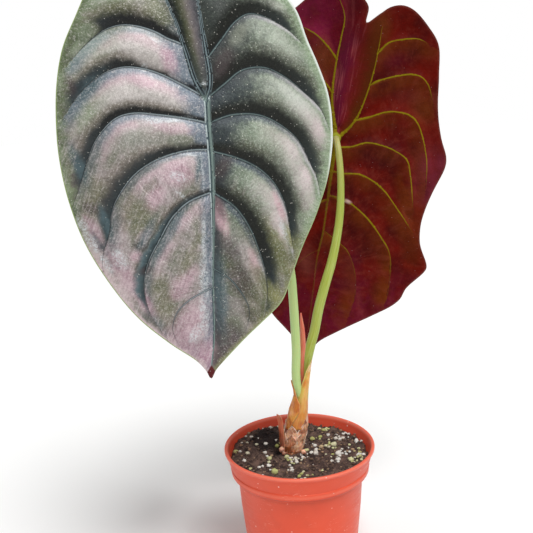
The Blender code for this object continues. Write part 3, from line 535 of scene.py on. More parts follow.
class Blade:
    """Quilted peltate blade in its own millimetres: stalk at the origin, tip at -Y, face at +Z."""

    def __init__(self, outline, midrib, lobes, side_veins, bend):
        self.margin = smooth_line(outline, 0.9, closed=True)
        self.bend = bend
        self.main = [smooth_line(m, 1.0) for m in [midrib] + lobes]
        self.sides = [smooth_line(v, 1.0) for v in side_veins]

    def plan(self):
        """Flat triangulation, close-set along the veins and the margin."""
        n = len(self.margin)
        ring = unit(np.roll(self.margin, -1, axis=0) - np.roll(self.margin, 1, axis=0))
        inward = np.stack([-ring[:, 1], ring[:, 0]], 1)
        if not inside(self.margin[:1] + inward[:1] * 0.3, self.margin)[0]:
            inward = -inward
        fixed, edges = [self.margin], [(i, (i + 1) % n) for i in range(n)]
        total = n
        for line in self.main + self.sides:
            fixed.append(line)
            edges += [(total + i, total + i + 1) for i in range(len(line) - 1)]
            total += len(line)
        loose = [self.margin + inward * off for off in MARGIN_ROWS]
        for line in self.main + self.sides:
            t = unit(np.gradient(line, axis=0))
            off = np.stack([-t[:, 1], t[:, 0]], 1)
            passed = np.linspace(0, 1, len(line))[:, None]
            is_main = any(line is m for m in self.main)
            width = np.interp(passed, *MAIN_WIDTH) if is_main else 0.36 - 0.18 * passed
            for share in VEIN_ROWS:
                loose += [line + off * width * share, line - off * width * share]
        (west, east), (south, north) = GRID_SPAN
        step = GRID_STEP
        across = np.arange(west, east, step)
        grid = np.vstack([np.column_stack([across + (j % 2) * step / 2, np.full(len(across), y)])
                          for j, y in enumerate(np.arange(south, north, step * 0.866))])
        grid += np.random.default_rng(3).uniform(-0.1, 0.1, grid.shape) * step
        kept = {}

        def cell(p, size=0.5):
            return math.floor(p[0] / size), math.floor(p[1] / size)

        def crowded(p, clear):
            i, j = cell(p)
            return any((q[0] - p[0]) ** 2 + (q[1] - p[1]) ** 2 < clear * clear
                       for u in (i - 1, i, i + 1) for v in (j - 1, j, j + 1) for q in kept.get((u, v), ()))

        verts = [tuple(p) for p in np.vstack(fixed)]
        for p in verts:
            kept.setdefault(cell(p), []).append(p)
        for points, clear in [(np.vstack(loose), CLEAR_ROWS), (grid, CLEAR_GRID * step)]:
            points = points[inside(points, self.margin)]
            for p in points.tolist():
                if not crowded(p, clear):
                    verts.append(tuple(p))
                    kept.setdefault(cell(p), []).append(p)
        out = delaunay_2d_cdt([Vector(v) for v in verts], edges, [], 1, 1e-5)
        return np.array([tuple(v) for v in out[0]]), np.array([tuple(f) for f in out[2]])

    def survey(self, p):
        """Vertex fields at flat points: distances to veins and margin, heights of pillows and ribs."""
        total = np.zeros(len(p))
        far = np.full(len(p), 99.0)
        f = {key: far.copy() for key in ("mid", "vein", "cord", "faint", "high", "below")}
        f.update({key: np.zeros(len(p)) for key in ("run", "out", "off", "tail", "across_rib", "top_rib", "under_rib")})

        def least(key, value):
            f[key] = np.minimum(f[key], value)

        def most(key, value):
            f[key] = np.maximum(f[key], value)

        sides, apart = [], []
        for k, line in enumerate(self.main):
            d, side, passed = line_distance(p, line)
            sides.append(side)
            apart.append(d)
            total += np.maximum(d, 1e-3) ** -3
            width = np.interp(passed, *MAIN_WIDTH) * (1 if k == 0 else 0.8)
            f["across_rib"] = np.where(d < width, side * d / width, f["across_rib"])
            least("mid", np.maximum(d - width, 0))
            dip = 0.16 * np.maximum(1 - (d / width / 0.45) ** 2, 0) * (passed < 0.45)
            most("top_rib", (0.5 - 0.38 * passed) * arch(d / width) - dip)
            under = np.interp(passed, *UNDER_WIDTH) * (0.75 if k == 1 else 1.0)
            least("cord", d / under + 0.35 * passed ** 4)
            most("under_rib", under * 0.9 * arch(d / under))
        tipside = p[:, 1] < 0
        left = np.where(tipside, sides[0] < 0, sides[1] > 0)
        right = np.where(tipside, sides[0] > 0, sides[2] < 0)
        f["gap"] = apart[1] / np.maximum(apart[1] + apart[2], 1e-9)
        nearest, closest = far.copy(), np.min(apart, axis=0)
        for k, line in enumerate(self.sides):
            d, side, passed = line_distance(p, line)
            f["tail"] = np.where(d < closest, passed, f["tail"])
            closest = np.minimum(closest, d)
            leftward = line[-1][0] < line[0][0]
            tipward = side if leftward else -side
            strong = float(np.clip((line[0][1] + 62) / 25, 0.2, 1))  # weaker towards the tip
            total += np.hypot(np.maximum(d * (1.05 - 0.35 * tipward), 1e-3), 5 * (1 - strong)) ** -3
            width = (0.32 - 0.18 * passed) * (0.4 + 0.6 * strong)
            least("vein", d / width + 2.2 * passed ** 3)
            most("top_rib", (0.22 - 0.16 * passed) * strong * arch(d / width))
            under = (0.25 - 0.13 * passed) * (0.4 + 0.6 * strong)
            least("cord", d / under + 0.25 * passed ** 2 + 0.6 * (1 - strong))
            most("under_rib", under * 0.75 * arch(d / under))
            if strong < 0.5:
                least("faint", d + 1.5 * passed)
                continue
            same = left if leftward else right
            lower = same & (tipward > 0) & (d < f["below"])
            for key, value in (("run", passed * len(line) + 137 * k), ("out", passed), ("below", d)):
                f[key] = np.where(lower, value, f[key])
            dark = np.interp(passed, (0, 0.4, 0.65, 0.85, 1), FOLD_LEFT if leftward else FOLD_RIGHT)
            if leftward and (line[0][1] > 10 or -20 < line[0][1] < -12):
                dark = dark * 1.5  # the two widest folds of the photo
            upper = same & (tipward <= 0) & (d < nearest)
            nearest = np.where(upper, d, nearest)
            for key, value in (("high", d / dark), ("off", passed)):
                f[key] = np.where(upper, value, f[key])
        f["half"] = np.where(left, -1.0, np.where(right, 1.0, 0.0))
        for key, spots in BLOTCHES.items():
            f[key] = np.zeros(len(p))
            for x, y, long, wide, angle in spots:
                c, sn = math.cos(math.radians(angle)), math.sin(math.radians(angle))
                u, v = p[:, 0] - x, p[:, 1] - y
                square = ((c * u + sn * v) / long) ** 2 + ((c * v - sn * u) / wide) ** 2
                most(key, np.exp(-0.7 * square))
        edge, _, round_share = line_distance(p, np.vstack([self.margin, self.margin[:1]])[::2])
        f["edge"] = edge
        f["round"] = round_share * len(self.margin)
        reach = total ** (-1 / 3)
        f["rise"] = PILLOW_RISE * reach / np.sqrt(1 + (reach / 11) ** 2) * (0.3 + 0.7 * smoothstep(0, 9, edge))
        return f

    def base(self, p, f):
        """Upper surface without the ribs."""
        x, y = p[:, 0], p[:, 1]
        across, down, up = self.bend
        bow = -across * x ** 2 - down * np.minimum(y, 0) ** 2 - up * np.maximum(y, 0) ** 2
        curl = -np.clip(1 - f["edge"] / 7, 0, 1) ** 2
        pucker = np.array([noise.noise(Vector((a * 0.16, b * 0.16, 3.0))) for a, b in p])
        pucker *= 1 + 1.2 * smoothstep(-25, -50, y) * smoothstep(4, -6, x)
        fade = smoothstep(0, 3, np.minimum(f["edge"], np.minimum(f["mid"], f["vein"])))
        knob = 1.1 * np.exp(-((x + 0.9) ** 2 + (y - 4.6) ** 2) / 3.2)
        hollow = 0.8 * np.exp(-((x + 0.6) ** 2 + (y - 1.6) ** 2) / 2.5)
        return bow + curl + f["rise"] + 0.28 * pucker * fade + knob - hollow

    def build(self, name, at, turn, upper_look, under_look):
        flat, tris = self.plan()
        f = self.survey(flat)
        n = len(flat)
        smooth = np.column_stack([flat, self.base(flat, f)])
        a, b, c = smooth[tris[:, 0]], smooth[tris[:, 1]], smooth[tris[:, 2]]
        face_normal = np.cross(b - a, c - a)
        normal = np.zeros((n, 3))
        for k in range(3):
            np.add.at(normal, tris[:, k], face_normal)
        normal = unit(normal) * np.sign(normal[:, 2:])
        top = smooth + normal * f["top_rib"][:, None]
        thick = 0.34 + 0.3 * smoothstep(0, 2.5, f["edge"])
        bottom = smooth - normal * (thick + f["under_rib"])[:, None]
        r = np.hypot(flat[:, 0], flat[:, 1])
        seat = -SEAT_DEPTH + np.maximum(r - SEAT_RADIUS, 0) * 3.4
        bottom[:, 2] = np.minimum(bottom[:, 2], seat)
        rim = self.rim(tris)
        lip = 0.5 * (top[rim] + bottom[rim]) + self.outward(flat, rim) * 0.12
        ring = np.arange(len(rim)) + 2 * n
        faces = [tuple(t) for t in tris] + [tuple(t[::-1] + n) for t in tris]
        for i in range(len(rim)):
            j = (i + 1) % len(rim)
            faces.append((rim[j], rim[i], ring[i], ring[j]))
            faces.append((ring[j], ring[i], rim[i] + n, rim[j] + n))
        f.update(stalk=r, u=flat[:, 0], v=flat[:, 1])
        fields = {k: np.concatenate([v, v, v[rim]]) for k, v in f.items()}
        m = len(tris)
        looks = np.concatenate([np.zeros(m), np.ones(m), np.tile([0, 1], len(rim))]).astype(int)
        turned = np.array(Euler([math.radians(a) for a in turn]).to_matrix())
        verts = np.vstack([top, bottom, lip]) @ turned.T + at
        return add_mesh(name, verts, faces, [upper_look, under_look], fields, looks)

    def rim(self, tris):
        """Margin vertices in order, so that the blade lies on their left."""
        ahead = dict.fromkeys(pair for t in tris.tolist() for pair in zip(t, t[1:] + t[:1]))
        follow = {a: b for a, b in ahead if (b, a) not in ahead}
        loop = [next(iter(follow))]
        while follow[loop[-1]] != loop[0]:
            loop.append(follow[loop[-1]])
        return np.array(loop)

    def outward(self, flat, rim):
        along = unit(np.roll(flat[rim], -1, axis=0) - np.roll(flat[rim], 1, axis=0))
        return np.column_stack([along[:, 1], -along[:, 0], np.zeros(len(rim))])


def arch(share):
    """Height of a half round, 1 in the middle and 0 at share 1."""
    return np.sqrt(np.maximum(1 - share ** 2, 0))


def seat_of(at, turn):
    """Middle of the seat under a blade and the blade's upward normal."""
    rot = Matrix.Rotation(math.radians(turn[2]), 3, "Z") @ Matrix.Rotation(math.radians(turn[0]), 3, "X")
    normal = np.array(rot @ Vector((0, 0, 1)))
    return np.array(at) - (SEAT_DEPTH + 0.3) * normal, normal


def upper_look():
    """Coppery upper skin: dark folds above the veins, slate below them, pillows from cream to mauve. The folds are dark
    pigment with painted shade; the slate carries painted sheen, and the crests and the right margin carry painted
    highlights.
    """
    k = Look("leaf_upper")
    high, below, mid, half = k.field("high", "below", "mid", "half")
    vein, edge, run, x, y = k.field("vein", "edge", "run", "u", "v")
    out, off = k.field("out", "off")
    k.place = k.vector(x * MM, y * MM)
    left = half.step(0.5, -0.5)
    low = k.mix(left, y.step(-34, -62), (x * 0.45 + y).step(-20, -38))
    wander = k.noise(300, 3, 0.62)
    rough_edge = wander * 0.7 - 0.35
    high += rough_edge
    below += rough_edge * 2.4
    patch = k.noise(80, 3, 0.6, bend=0.5).step(0.38, 0.64)
    inland = (wander * 8 + edge).step(12, 26)

    # Left half painted lighter and pinker, right half greener and darker towards the midrib: the leaf's own mottling
    # with painted reflection of the light on its sheen.
    lit_left_tint = k.blend(inland, k.blend(patch, "#7e8e70", "#98a08c"), k.blend(patch, "#a49e9a", "#beb8b4"))
    dim_right_tint = k.blend(patch, "#76846e", "#949e8c")
    dim_right_tint = k.blend(x.step(26, 6, 0, 0.55), dim_right_tint, "#545c54")
    deep = k.blend(left, k.blend(patch, "#686c5a", "#847e7a"), k.blend(patch, "#707262", "#988e8c"))
    k.colour = k.blend(low, k.blend(left, dim_right_tint, lit_left_tint), deep)
    clear = k.field("clear").step(0.75, 0.25, 0.2, 1)
    high *= k.mix(left, 0.86, 1)
    # Soft edge of the dark fold above each vein: painted shade over the darker pigment.
    fold_edge_shade = high.step(2.1, 1.1, 0, 0.8) * clear
    k.lay(fold_edge_shade, k.blend(left, "#525444", "#6c6458"))
    # Pale pink crest of each pillow below a vein: painted highlight of the light on the sheen.
    crest_highlight = below.step(1, 3.2) * below.step(k.mix(left, 11, 8), 3.6)
    crest_highlight *= k.noise(120, 2).step(0.3, 0.56, k.mix(left, 0.5, 0.1), 0.85)
    crest_highlight *= (out + left).step(0.25, 0.75)
    crest_highlight *= k.mix(left, y.step(14, 4, 0.3, 1), inland.step(0, 1, 0.35, 1))
    k.lay(crest_highlight, k.blend(left, k.blend(y.step(2, -10), "#cccec6", "#dccacc"), "#bca4ab"))
    # Slate band just below each vein: dark vein-side pigment with a painted bluish sheen, which turns into a painted
    # pale highlight at the outer ends on the right half.
    reach = k.mix(left, out * -2.4 + 3.2, out * 3.4 + 1.3)
    reach *= y.step(-54, -76, 1, 0.5)
    outer = k.blend(y.step(8, 22), "#586878", "#92a09c")
    slate = k.blend(left, k.blend(out.step(0.35, 0.75), "#424c5a", "#bcb8bc"),
                    k.blend(low, k.blend(out, "#8e98a6", outer), "#626a6c"))
    # Pale patch on the outer pillows of the right half: painted highlight.
    outer_highlight = out.step(0.35, 0.75, 0, 0.1) * left.step(1, 0)
    outer_highlight *= edge.step(6, 13)
    k.lay(outer_highlight * y.step(-44, -30), "#d0d6ce")
    near = below / reach
    k.lay(near.step(1.5, 0.4, 0, 0.85), slate)
    # Dark band beside the midrib, wider on the right half: painted shade of the slopes beside the raised midrib, over
    # dark pigment.
    wide = y.step(-50, -16, 3.4, 10) + y.step(-20, 6, 0, 17)
    beside = mid / k.mix(left, wide, y.step(-30, -4, 4.8, 9.6))
    beside += rough_edge
    midrib_shade = beside.step(1, 0.3)
    k.lay(midrib_shade * 0.92, k.blend(left, k.blend(y.step(2, 14), "#2c343a", "#2e3332"),
                               k.blend(y.step(12, 32), "#647280", "#384046")))
    k.lay(y.step(-80, -93, 0, 0.9), k.blend(left, "#706062", "#a08091"))
    rose = k.blend(left, "#d6b2ba", k.blend(patch, "#b08c9a", "#c2a4ae"))
    k.patch("rose", rose, wander, 0.8)
    lime = k.blend(x.step(15, 21), "#383a1a", "#848450")
    k.patch("lime", lime, wander, 0.9)
    olive = k.blend(low * left, k.blend(patch, "#4c502e", "#686c4c"), "#6e6e52")
    k.patch("olive", olive, wander, 0.75)

    # Dark fold above each side vein: the leaf's dark pigment with painted shade of the slope that faces down.
    tail = off.step(0.45, 1)
    dull = k.blend(y.step(-34, -50), "#3c3c3c", "#54676d")
    pale = k.blend(low, k.blend(left, "#3e4642", "#404a4e"), k.blend(left, "#2c363c", dull))
    pale = k.blend(high.step(0.75, 0.15, 0, 0.7), pale, "#263236")
    fold = k.blend(tail.top(low * left), k.blend(left, "#161814", "#121314"), pale)
    shade = high.step(1.4, 0.5) * edge.step(0.5, 7, 0.3, 1)
    shade *= clear
    k.lay(shade, fold)
    k.patch("moss", k.blend(left, "#707468", "#7e8276"), wander, 0.8)
    k.patch("dusky", "#423638", wander, 0.7)
    k.patch("teal", "#4e6167", wander, 0.85)

    wedge = abs(half).step(0.5, 0.1) * y.step(0, 1)
    gap = k.field("gap") + (wander * 0.3 - 0.15)
    # Wedge between the lobe veins: olive and mauve pigment, with painted shade in the dark bands along the lobe veins.
    between = k.ramp(gap, [(0.06, "#121a1a"), (0.2, "#222822"), (0.36, "#54583c"), (0.56, "#746a68"),
                           (0.78, "#605c62"), (0.93, "#2c343a")])
    between = k.blend(y.step(22, 6, 0, 0.8), between, "#3a4242")
    k.lay(wedge, between)
    # Dark spot over the hollow where the lobe veins meet: painted shade in the hollow.
    socket = ((x + 0.6) ** 2 + (y - 1.8) ** 2).root()
    k.lay(socket.step(2.8, 1.3, 0, 0.9), "#1e2e32")

    side_width = k.mix(left, wander * 9 + 0.8, wander * 12 - 0.8)
    side_width *= y.step(-38, -62, 1, k.mix(left, 0.45, y.step(-66, -78, 1.25, 0.4)))
    comb = k.noise(1, 3, 0.65, (k.field("round") * 1.3, edge * 0.16), bend=0.5)
    side_width *= comb.step(0.25, 0.75, 0.86, 1.2)
    margin = k.calc("SUBTRACT", 1, edge / side_width, clamp=True)
    green = k.blend(left, k.blend(comb.step(0.3, 0.7), "#7e9270", "#9eb292"), k.blend(patch, "#54623e", "#7c8c6a"))
    down = y.step(-40, -60)
    green = k.blend(down, green, k.blend(left, "#80805a", "#ccb8ba"))
    k.lay(margin.step(0, 0.9, 0, 0.88), green)

    grain = k.noise(1, 4, 0.75, (run * 1.1, below * 0.34), bend=0.6)
    k.lay(grain.step(0.4, 0.72, 0, 0.3), "#d6d2cc", "SOFT_LIGHT")
    k.lay(grain.step(0.56, 0.3, 0, 0.34), "#343830", "SOFT_LIGHT")
    slant = x * 1.3 + y * k.mix(left, 0.48, -0.48)
    brushed = k.noise(1, 3, 0.65, (slant, y * 0.16 + x * 0.06), bend=0.5)
    brushes = low * shade.step(0.5, 0.1)
    k.lay(brushes * brushed.step(0.48, 0.72, 0, k.mix(left, 0.08, 0.3)), "#ded0d4")
    k.lay(brushes * brushed.step(0.5, 0.26, 0, 0.36), "#464642")
    flour = k.noise(1500, 3, 0.7)
    fleck = k.noise(900, 4, 0.78, bend=0.8)
    dark = shade.top(wedge * 0.8)
    dark = dark.top(midrib_shade * k.mix(left, 0.85, 0))
    crease = k.noise(1, 3, 0.55, (run * 0.2, below * 0.07), bend=0.8)
    creased = y.step(-8, -44, 0.15, 1) * below.step(0.6, 4)
    creased *= dark.step(0.6, 0.1)
    creased *= (y - x).step(-84, -66)
    k.lay(creased * crease.step(0.5, 0.7, 0, 0.2), "#cebec2")
    k.lay(creased * crease.step(0.5, 0.3, 0, 0.3), "#54584a")
    light = flour.step(0.5, 0.74) * (dark * -0.32 + 0.36)
    k.lay(light, k.blend(dark, "#e4e2de", "#969c9a"))
    k.lay(flour.step(0.48, 0.28, 0, 0.26), "#40423e")
    light = fleck.step(0.5, 0.68) * (dark * -0.38 + 0.4)
    light *= low.step(0, 1, 1, k.mix(left, 0.4, 0.6))
    k.lay(light, k.blend(left, "#beccba", "#e8e2de"))
    k.lay(fleck.step(0.47, 0.3, 0, 0.3), "#50524a")

    # Pale marks from listed patches: white scuffs and painted highlights, the knob's among them.
    scuff_and_highlight = k.noise(800, 4, 0.8, bend=1.4)
    scuff_and_highlight = scuff_and_highlight.step(0.4, 0.66) * k.field("scuff_and_highlight").step(0.25, 0.75, 0, 0.85)
    k.lay(scuff_and_highlight, "#d0d6d8")
    # Dark lines beside each vein: dark pigment with painted shade in the sunken grooves.
    groove_shade = vein.step(3.4, 1.2, 0, 0.75)
    k.lay(groove_shade, "#1a2226")
    k.lay(k.field("faint").step(2.4, 0.1, 0, 0.28), "#3c4248")
    k.lay(vein.step(1.2, 0.5), k.blend(left, "#607070", "#8c989c"))
    across = k.field("across_rib")
    streak = k.noise(1, 2, 0.5, (x * 2.2, y * 0.12))
    lobe = y.step(0, 4)
    # Midrib: pale line along its left edge as painted highlight and dark right edge as painted shade, over its
    # grey-green streaks.
    rib = k.blend(across.step(-0.2, 0.2), "#405054", k.blend(streak, "#647874", "#84948e"))
    rib = k.blend(across.step(-0.9, -0.75) * across.step(-0.5, -0.65), rib, "#b2bebe")
    rib = k.blend(across.step(0.62, 0.85), rib, "#1e282c")
    centre = abs(across).step(0.45, 0.2)
    rib = k.blend(lobe, rib, k.blend(centre, "#182024", "#708084"))
    k.lay(mid.step(0.1, 0), rib)
    drop = abs(x + 0.6) * 1.7 + y
    k.lay(drop.step(-95.8, -96.8), "#561418")

    dots = k.cells(1000).step(0.2, 0.1) * k.noise(600, 0).step(0.48, 0.56)
    k.lay(dots * 0.55, "#e2e0d6")
    # Thin rim along the margin: white on the upper right half as a painted highlight, green elsewhere.
    right_rim_highlight = left.step(1, 0) * y.step(-34, -18, 0.15, 1)
    rim = edge.step(right_rim_highlight * 0.9 + 0.4, 0.1) * y.step(-96, -93)
    k.lay(rim, k.blend(right_rim_highlight, "#92a862", "#e8eee6"))
    pores = k.noise(2600, 2, 0.6)
    height = grain * 0.7 + (pores * 0.3 + flour)
    relief = k.bump(crease * creased, 0.6, 0.0015)
    normal = k.bump(height, 0.45, 0.0003, Normal=relief)
    rough = grain.step(0.3, 0.8, 0.36, 0.5)
    return k.finish(rough, Normal=normal, Metallic=0.15, IOR=1.42, Specular_IOR_Level=0.35)


def under_look():
    """Maroon lower skin with fine raised olive veins."""
    k = Look("leaf_under")
    edge, stalk, cord, tail = k.field("edge", "stalk", "cord", "tail")
    x, y, below, run = k.field("u", "v", "below", "run")
    k.place = k.vector(x * MM, y * MM)
    cloud = k.noise(55, 3, 0.55)
    soft = k.noise(120, 3, 0.55)
    brush = k.noise(1, 3, 0.6, (run * 0.3, below * 0.1))
    k.colour = k.blend(cloud.step(0.34, 0.64), "#460806", "#640e04")
    rosy = y.step(12, 34) * x.step(-8, 8)
    k.lay(rosy * soft.step(0.3, 0.6, 0.5, 0.95), "#741636")
    rosy = y.step(-54, -82) * soft.step(0.4, 0.6, 0.3, 0.9)
    k.lay(rosy, "#5e0c24")
    brown = below.step(9.5, 1) * k.noise(90, 2).step(0.34, 0.6, 0.25, 0.9)
    k.lay(brown, "#6a2c06")
    k.lay(below.step(1.4, 0.2) * tail.step(0.1, 0.5, 0.55, 0.2), "#783e12")
    torn = soft * 1.6 + 0.1
    k.stains(x, y, torn, [
        (-37, -44, 9, 24, 0.75, "#6c2a0c"), (-17, 47, 8, 13, 0.8, "#602e0c"), (7, 30, 8, 17, 0.85, "#6c3610"),
        (-37, 14, 9, 14, 0.5, "#6e3210"), (-20, -8, 16, 8, 0.4, "#420c12"), (-25, 34, 10, 6, 0.35, "#5c102c"),
        (-20, -50, 12, 14, 0.45, "#4a160e"), (-8, -62, 9, 18, 0.5, "#540822"), (-32, 18, 12, 6, 0.3, "#80342c"),
        (-30, 2, 6, 14, 0.35, "#701414"), (12, -57, 6, 14, 0.5, "#803e32"), (7, 38, 6, 9, 0.4, "#7c3e22")])
    k.lay(brush.step(0.46, 0.72, 0, 0.12), "#9e503e")
    fine = k.noise(420, 4, 0.65)
    k.lay(fine.step(0.45, 0.72, 0, 0.1), "#964c3c")
    k.lay(fine.step(0.5, 0.3, 0, 0.12), "#30040a")
    k.lay(brush.step(0.5, 0.3, 0, 0.12), "#32060c")

    gap = (soft - 0.5) * 0.5 + k.field("gap")
    wedge = abs(k.field("half")).step(0.5, 0.1) * y.step(54, 34, 0.25, 1)
    between = k.ramp(gap, [(0.05, "#582c0c"), (0.22, "#5e220e"), (0.42, "#701a18"), (0.62, "#6c142a"),
                           (0.82, "#520a2a"), (0.97, "#54141c")])
    k.lay(wedge * 0.9, between)
    # Pale pink streaks in the sinus between the lobe veins: streaking of the leaf with painted sheen.
    feather = k.noise(1, 3, 0.6, (k.field("gap") * 11, y * 0.06), bend=0.3)
    feather = feather.step(0.5, 0.72, 0, 0.5) * (wedge * gap.step(0.25, 0.5))
    k.lay(feather, "#a45456")
    sheen = x.step(-30, -46) * y.step(6, -14, 0, 1)
    sheen *= y.step(-34, -24)
    k.lay(sheen * soft.step(0.3, 0.7, 0.3, 0.8), "#762a3a")

    fresh = edge.step(0.5, 5, 0.2, 1) * tail.step(1, 0.8)
    fresh *= y.step(-72, -38)
    fresh *= tail.step(0.02, 0.16, y.step(-24, -6, 0.45, 0.95), 1)
    olive = k.blend(fresh, "#5c3a0a", k.blend(k.noise(240, 2), "#706004", "#928210"))
    shown = cord.step(1.05, 0.35) * fresh.step(0, 1, 0.55, 1)
    k.lay(shown, olive)
    shine = k.spot(x, y, -6.6, -29, 3.6, 1.5, 1) * cord.step(4, 0.6)
    k.lay(shine * 0.7, "#ceaca6")
    k.lay(stalk.step(2.6, 1.7), "#969a2c")
    k.lay(edge.step(0.8, 0.2, 0, 0.35), "#7c463c")
    glint = k.cells(800).step(0.12, 0.05) * k.noise(500, 0).step(0.62, 0.66)
    k.lay(glint * 0.45, "#dcbeba")
    mottle = k.noise(1100, 4, 0.65)
    net = k.cells(520, feature="DISTANCE_TO_EDGE")
    height = net.step(0, 0.12) + mottle
    return k.finish(cloud.step(0.3, 0.7, 0.46, 0.58), Normal=k.bump(height, 0.3, 0.0002), IOR=1.33,
                    Specular_IOR_Level=0.1)


# Stalks and new leaf
def tube(name, path, look, sides, step, end_normal=None):
    """Round stalk along (x, y, z, radius) points, closed at both ends, with its share of height."""
    line = smooth_line(path, step)
    pts, radii = line[:, :3], line[:, 3]
    tangents = np.gradient(pts, axis=0)
    tangents[0] = (0, 0, 1)
    if end_normal is not None:
        tangents[-1] = end_normal
    side = np.array([1.0, 0, 0])
    verts = []
    for p, t, r in zip(pts, unit(tangents), radii):
        side = unit(side - side.dot(t) * t)
        verts += [p + x * side + y * np.cross(t, side) for x, y, _ in circle(r, 0, sides)]
    fields = {"share": np.repeat(np.linspace(0, 1, len(pts)), sides),
              "angle": np.tile(np.arange(sides) / sides, len(pts))}
    return add_mesh(name, verts, barrel(len(pts), sides), [look], fields)


def stalk_look(name, foot, middle, head):
    k = Look(name)
    share, angle = k.field("share", "angle")
    fibre = k.noise(1, 3, 0.6, (angle * 38, share * 9))
    k.colour = k.ramp(fibre * 0.05 + share, [(0, foot), (0.16, middle), (0.8, middle), (1, head)])
    k.lay(fibre.step(0.3, 0.75, 0, 0.3), "#e2eaaa")
    k.lay(k.cells(700).step(0.2, 0.08, 0, 0.2), "#788c32")
    return k.finish(0.42, Normal=k.bump(fibre, 0.25, 0.0003), IOR=1.45, Subsurface_Weight=0.12,
                    Subsurface_Scale=0.002)


def make_stalk(name, path, at, turn, look):
    seat, normal = seat_of(at, turn)
    last = path[-1][3]
    path = path + [(*(seat - 2.2 * normal), last), (*(seat + 0.5 * normal), last + 0.25)]
    return dress(tube(name, path, look, sides=28, step=1, end_normal=normal), name.replace("stalk", "petiole"))


# Scales and sheaths
def scoop(z0, height, stations, seed, rows, cols, fray, thick=0.5):
    """Papery plate curved round the stem between two edge angles, narrowing to a frayed tip."""
    share = [st[0] for st in stations]
    draw = random.Random(seed)
    notch = [draw.uniform(0, 1) for _ in range(cols)]
    verts, fields = [], []
    for outer in (False, True):
        for i in range(rows):
            h = i / (rows - 1)
            cx, cy, rx, ry, first, last = [float(np.interp(h, share, [st[k] for st in stations])) for k in range(1, 7)]
            for j in range(cols):
                u = 2 * j / (cols - 1) - 1
                a = math.radians(first + (last - first) * (u + 1) / 2)
                rib = 0.07 * math.sin(u * 22 + seed) + 0.22 * noise.noise(Vector((u * 3, h * 5, seed)))
                edge = thick * (1 - 0.55 * abs(u) ** 3) * (1 - 0.45 * h)
                grow = rib + (edge if outer else 0.0)
                drop = fray * notch[j] * smoothstep(0.55, 1.0, h) * (0.4 + abs(u))
                verts.append((cx + (rx + grow) * math.cos(a), cy + (ry + grow) * math.sin(a), z0 + height * h - drop))
                fields.append((h, u))
    half = rows * cols
    faces = [f[::-1] for f in grid_faces(rows, cols)] + grid_faces(rows, cols, start=half)
    rim = list(range(cols)) + [i * cols + cols - 1 for i in range(1, rows)]
    rim += [(rows - 1) * cols + j for j in reversed(range(cols - 1))] + [i * cols for i in reversed(range(1, rows - 1))]
    for a, b in zip(rim, rim[1:] + rim[:1]):
        faces.append((a, b, b + half, a + half))
    return np.array(verts), faces, np.array(fields)


def paper_look(name, foot, tip, rim, stain, inner=None, rim_from=0.84, stains=()):
    """Dry sheath tissue, lighter at its torn edges, stained in places, tinted along its inner edge."""
    k = Look(name)
    high, across = k.field("high", "across")
    fibre = k.noise(1, 3, 0.6, (across * 9, high * 1.6))
    k.colour = k.blend((fibre * 0.3 + high).step(0.1, 0.9), foot, tip)
    k.lay(fibre.step(0.44, 0.7, 0, 0.3), rim)
    k.lay(k.noise(240, 3, 0.5).step(0.46, 0.66, 0, 0.85), stain)
    if inner:
        k.lay((fibre * 0.3 + across).step(-0.2, -0.9) * high.step(0.28, 0.42), inner)
    k.stains(across, high, fibre * 0.8 + 0.6, stains)
    k.lay(abs(across).step(rim_from, 1) * 0.65, rim)
    return k.finish(0.42, Normal=k.bump(fibre, 0.4, 0.0003), Subsurface_Weight=0.3, Subsurface_Scale=0.002)


def make_sheath(name, z0, height, stations, look, seed):
    verts, faces, field = scoop(z0, height, stations, seed, rows=70, cols=41, fray=0.5)
    return add_mesh(name, verts, faces, [look], {"high": field[:, 0], "across": field[:, 1]})


def rhizome_x(z):
    return float(np.interp(z, [53, 57, CROWN_Z], [BASE_CENTRE[0], -2.5, CROWN_CENTRE[0]]))


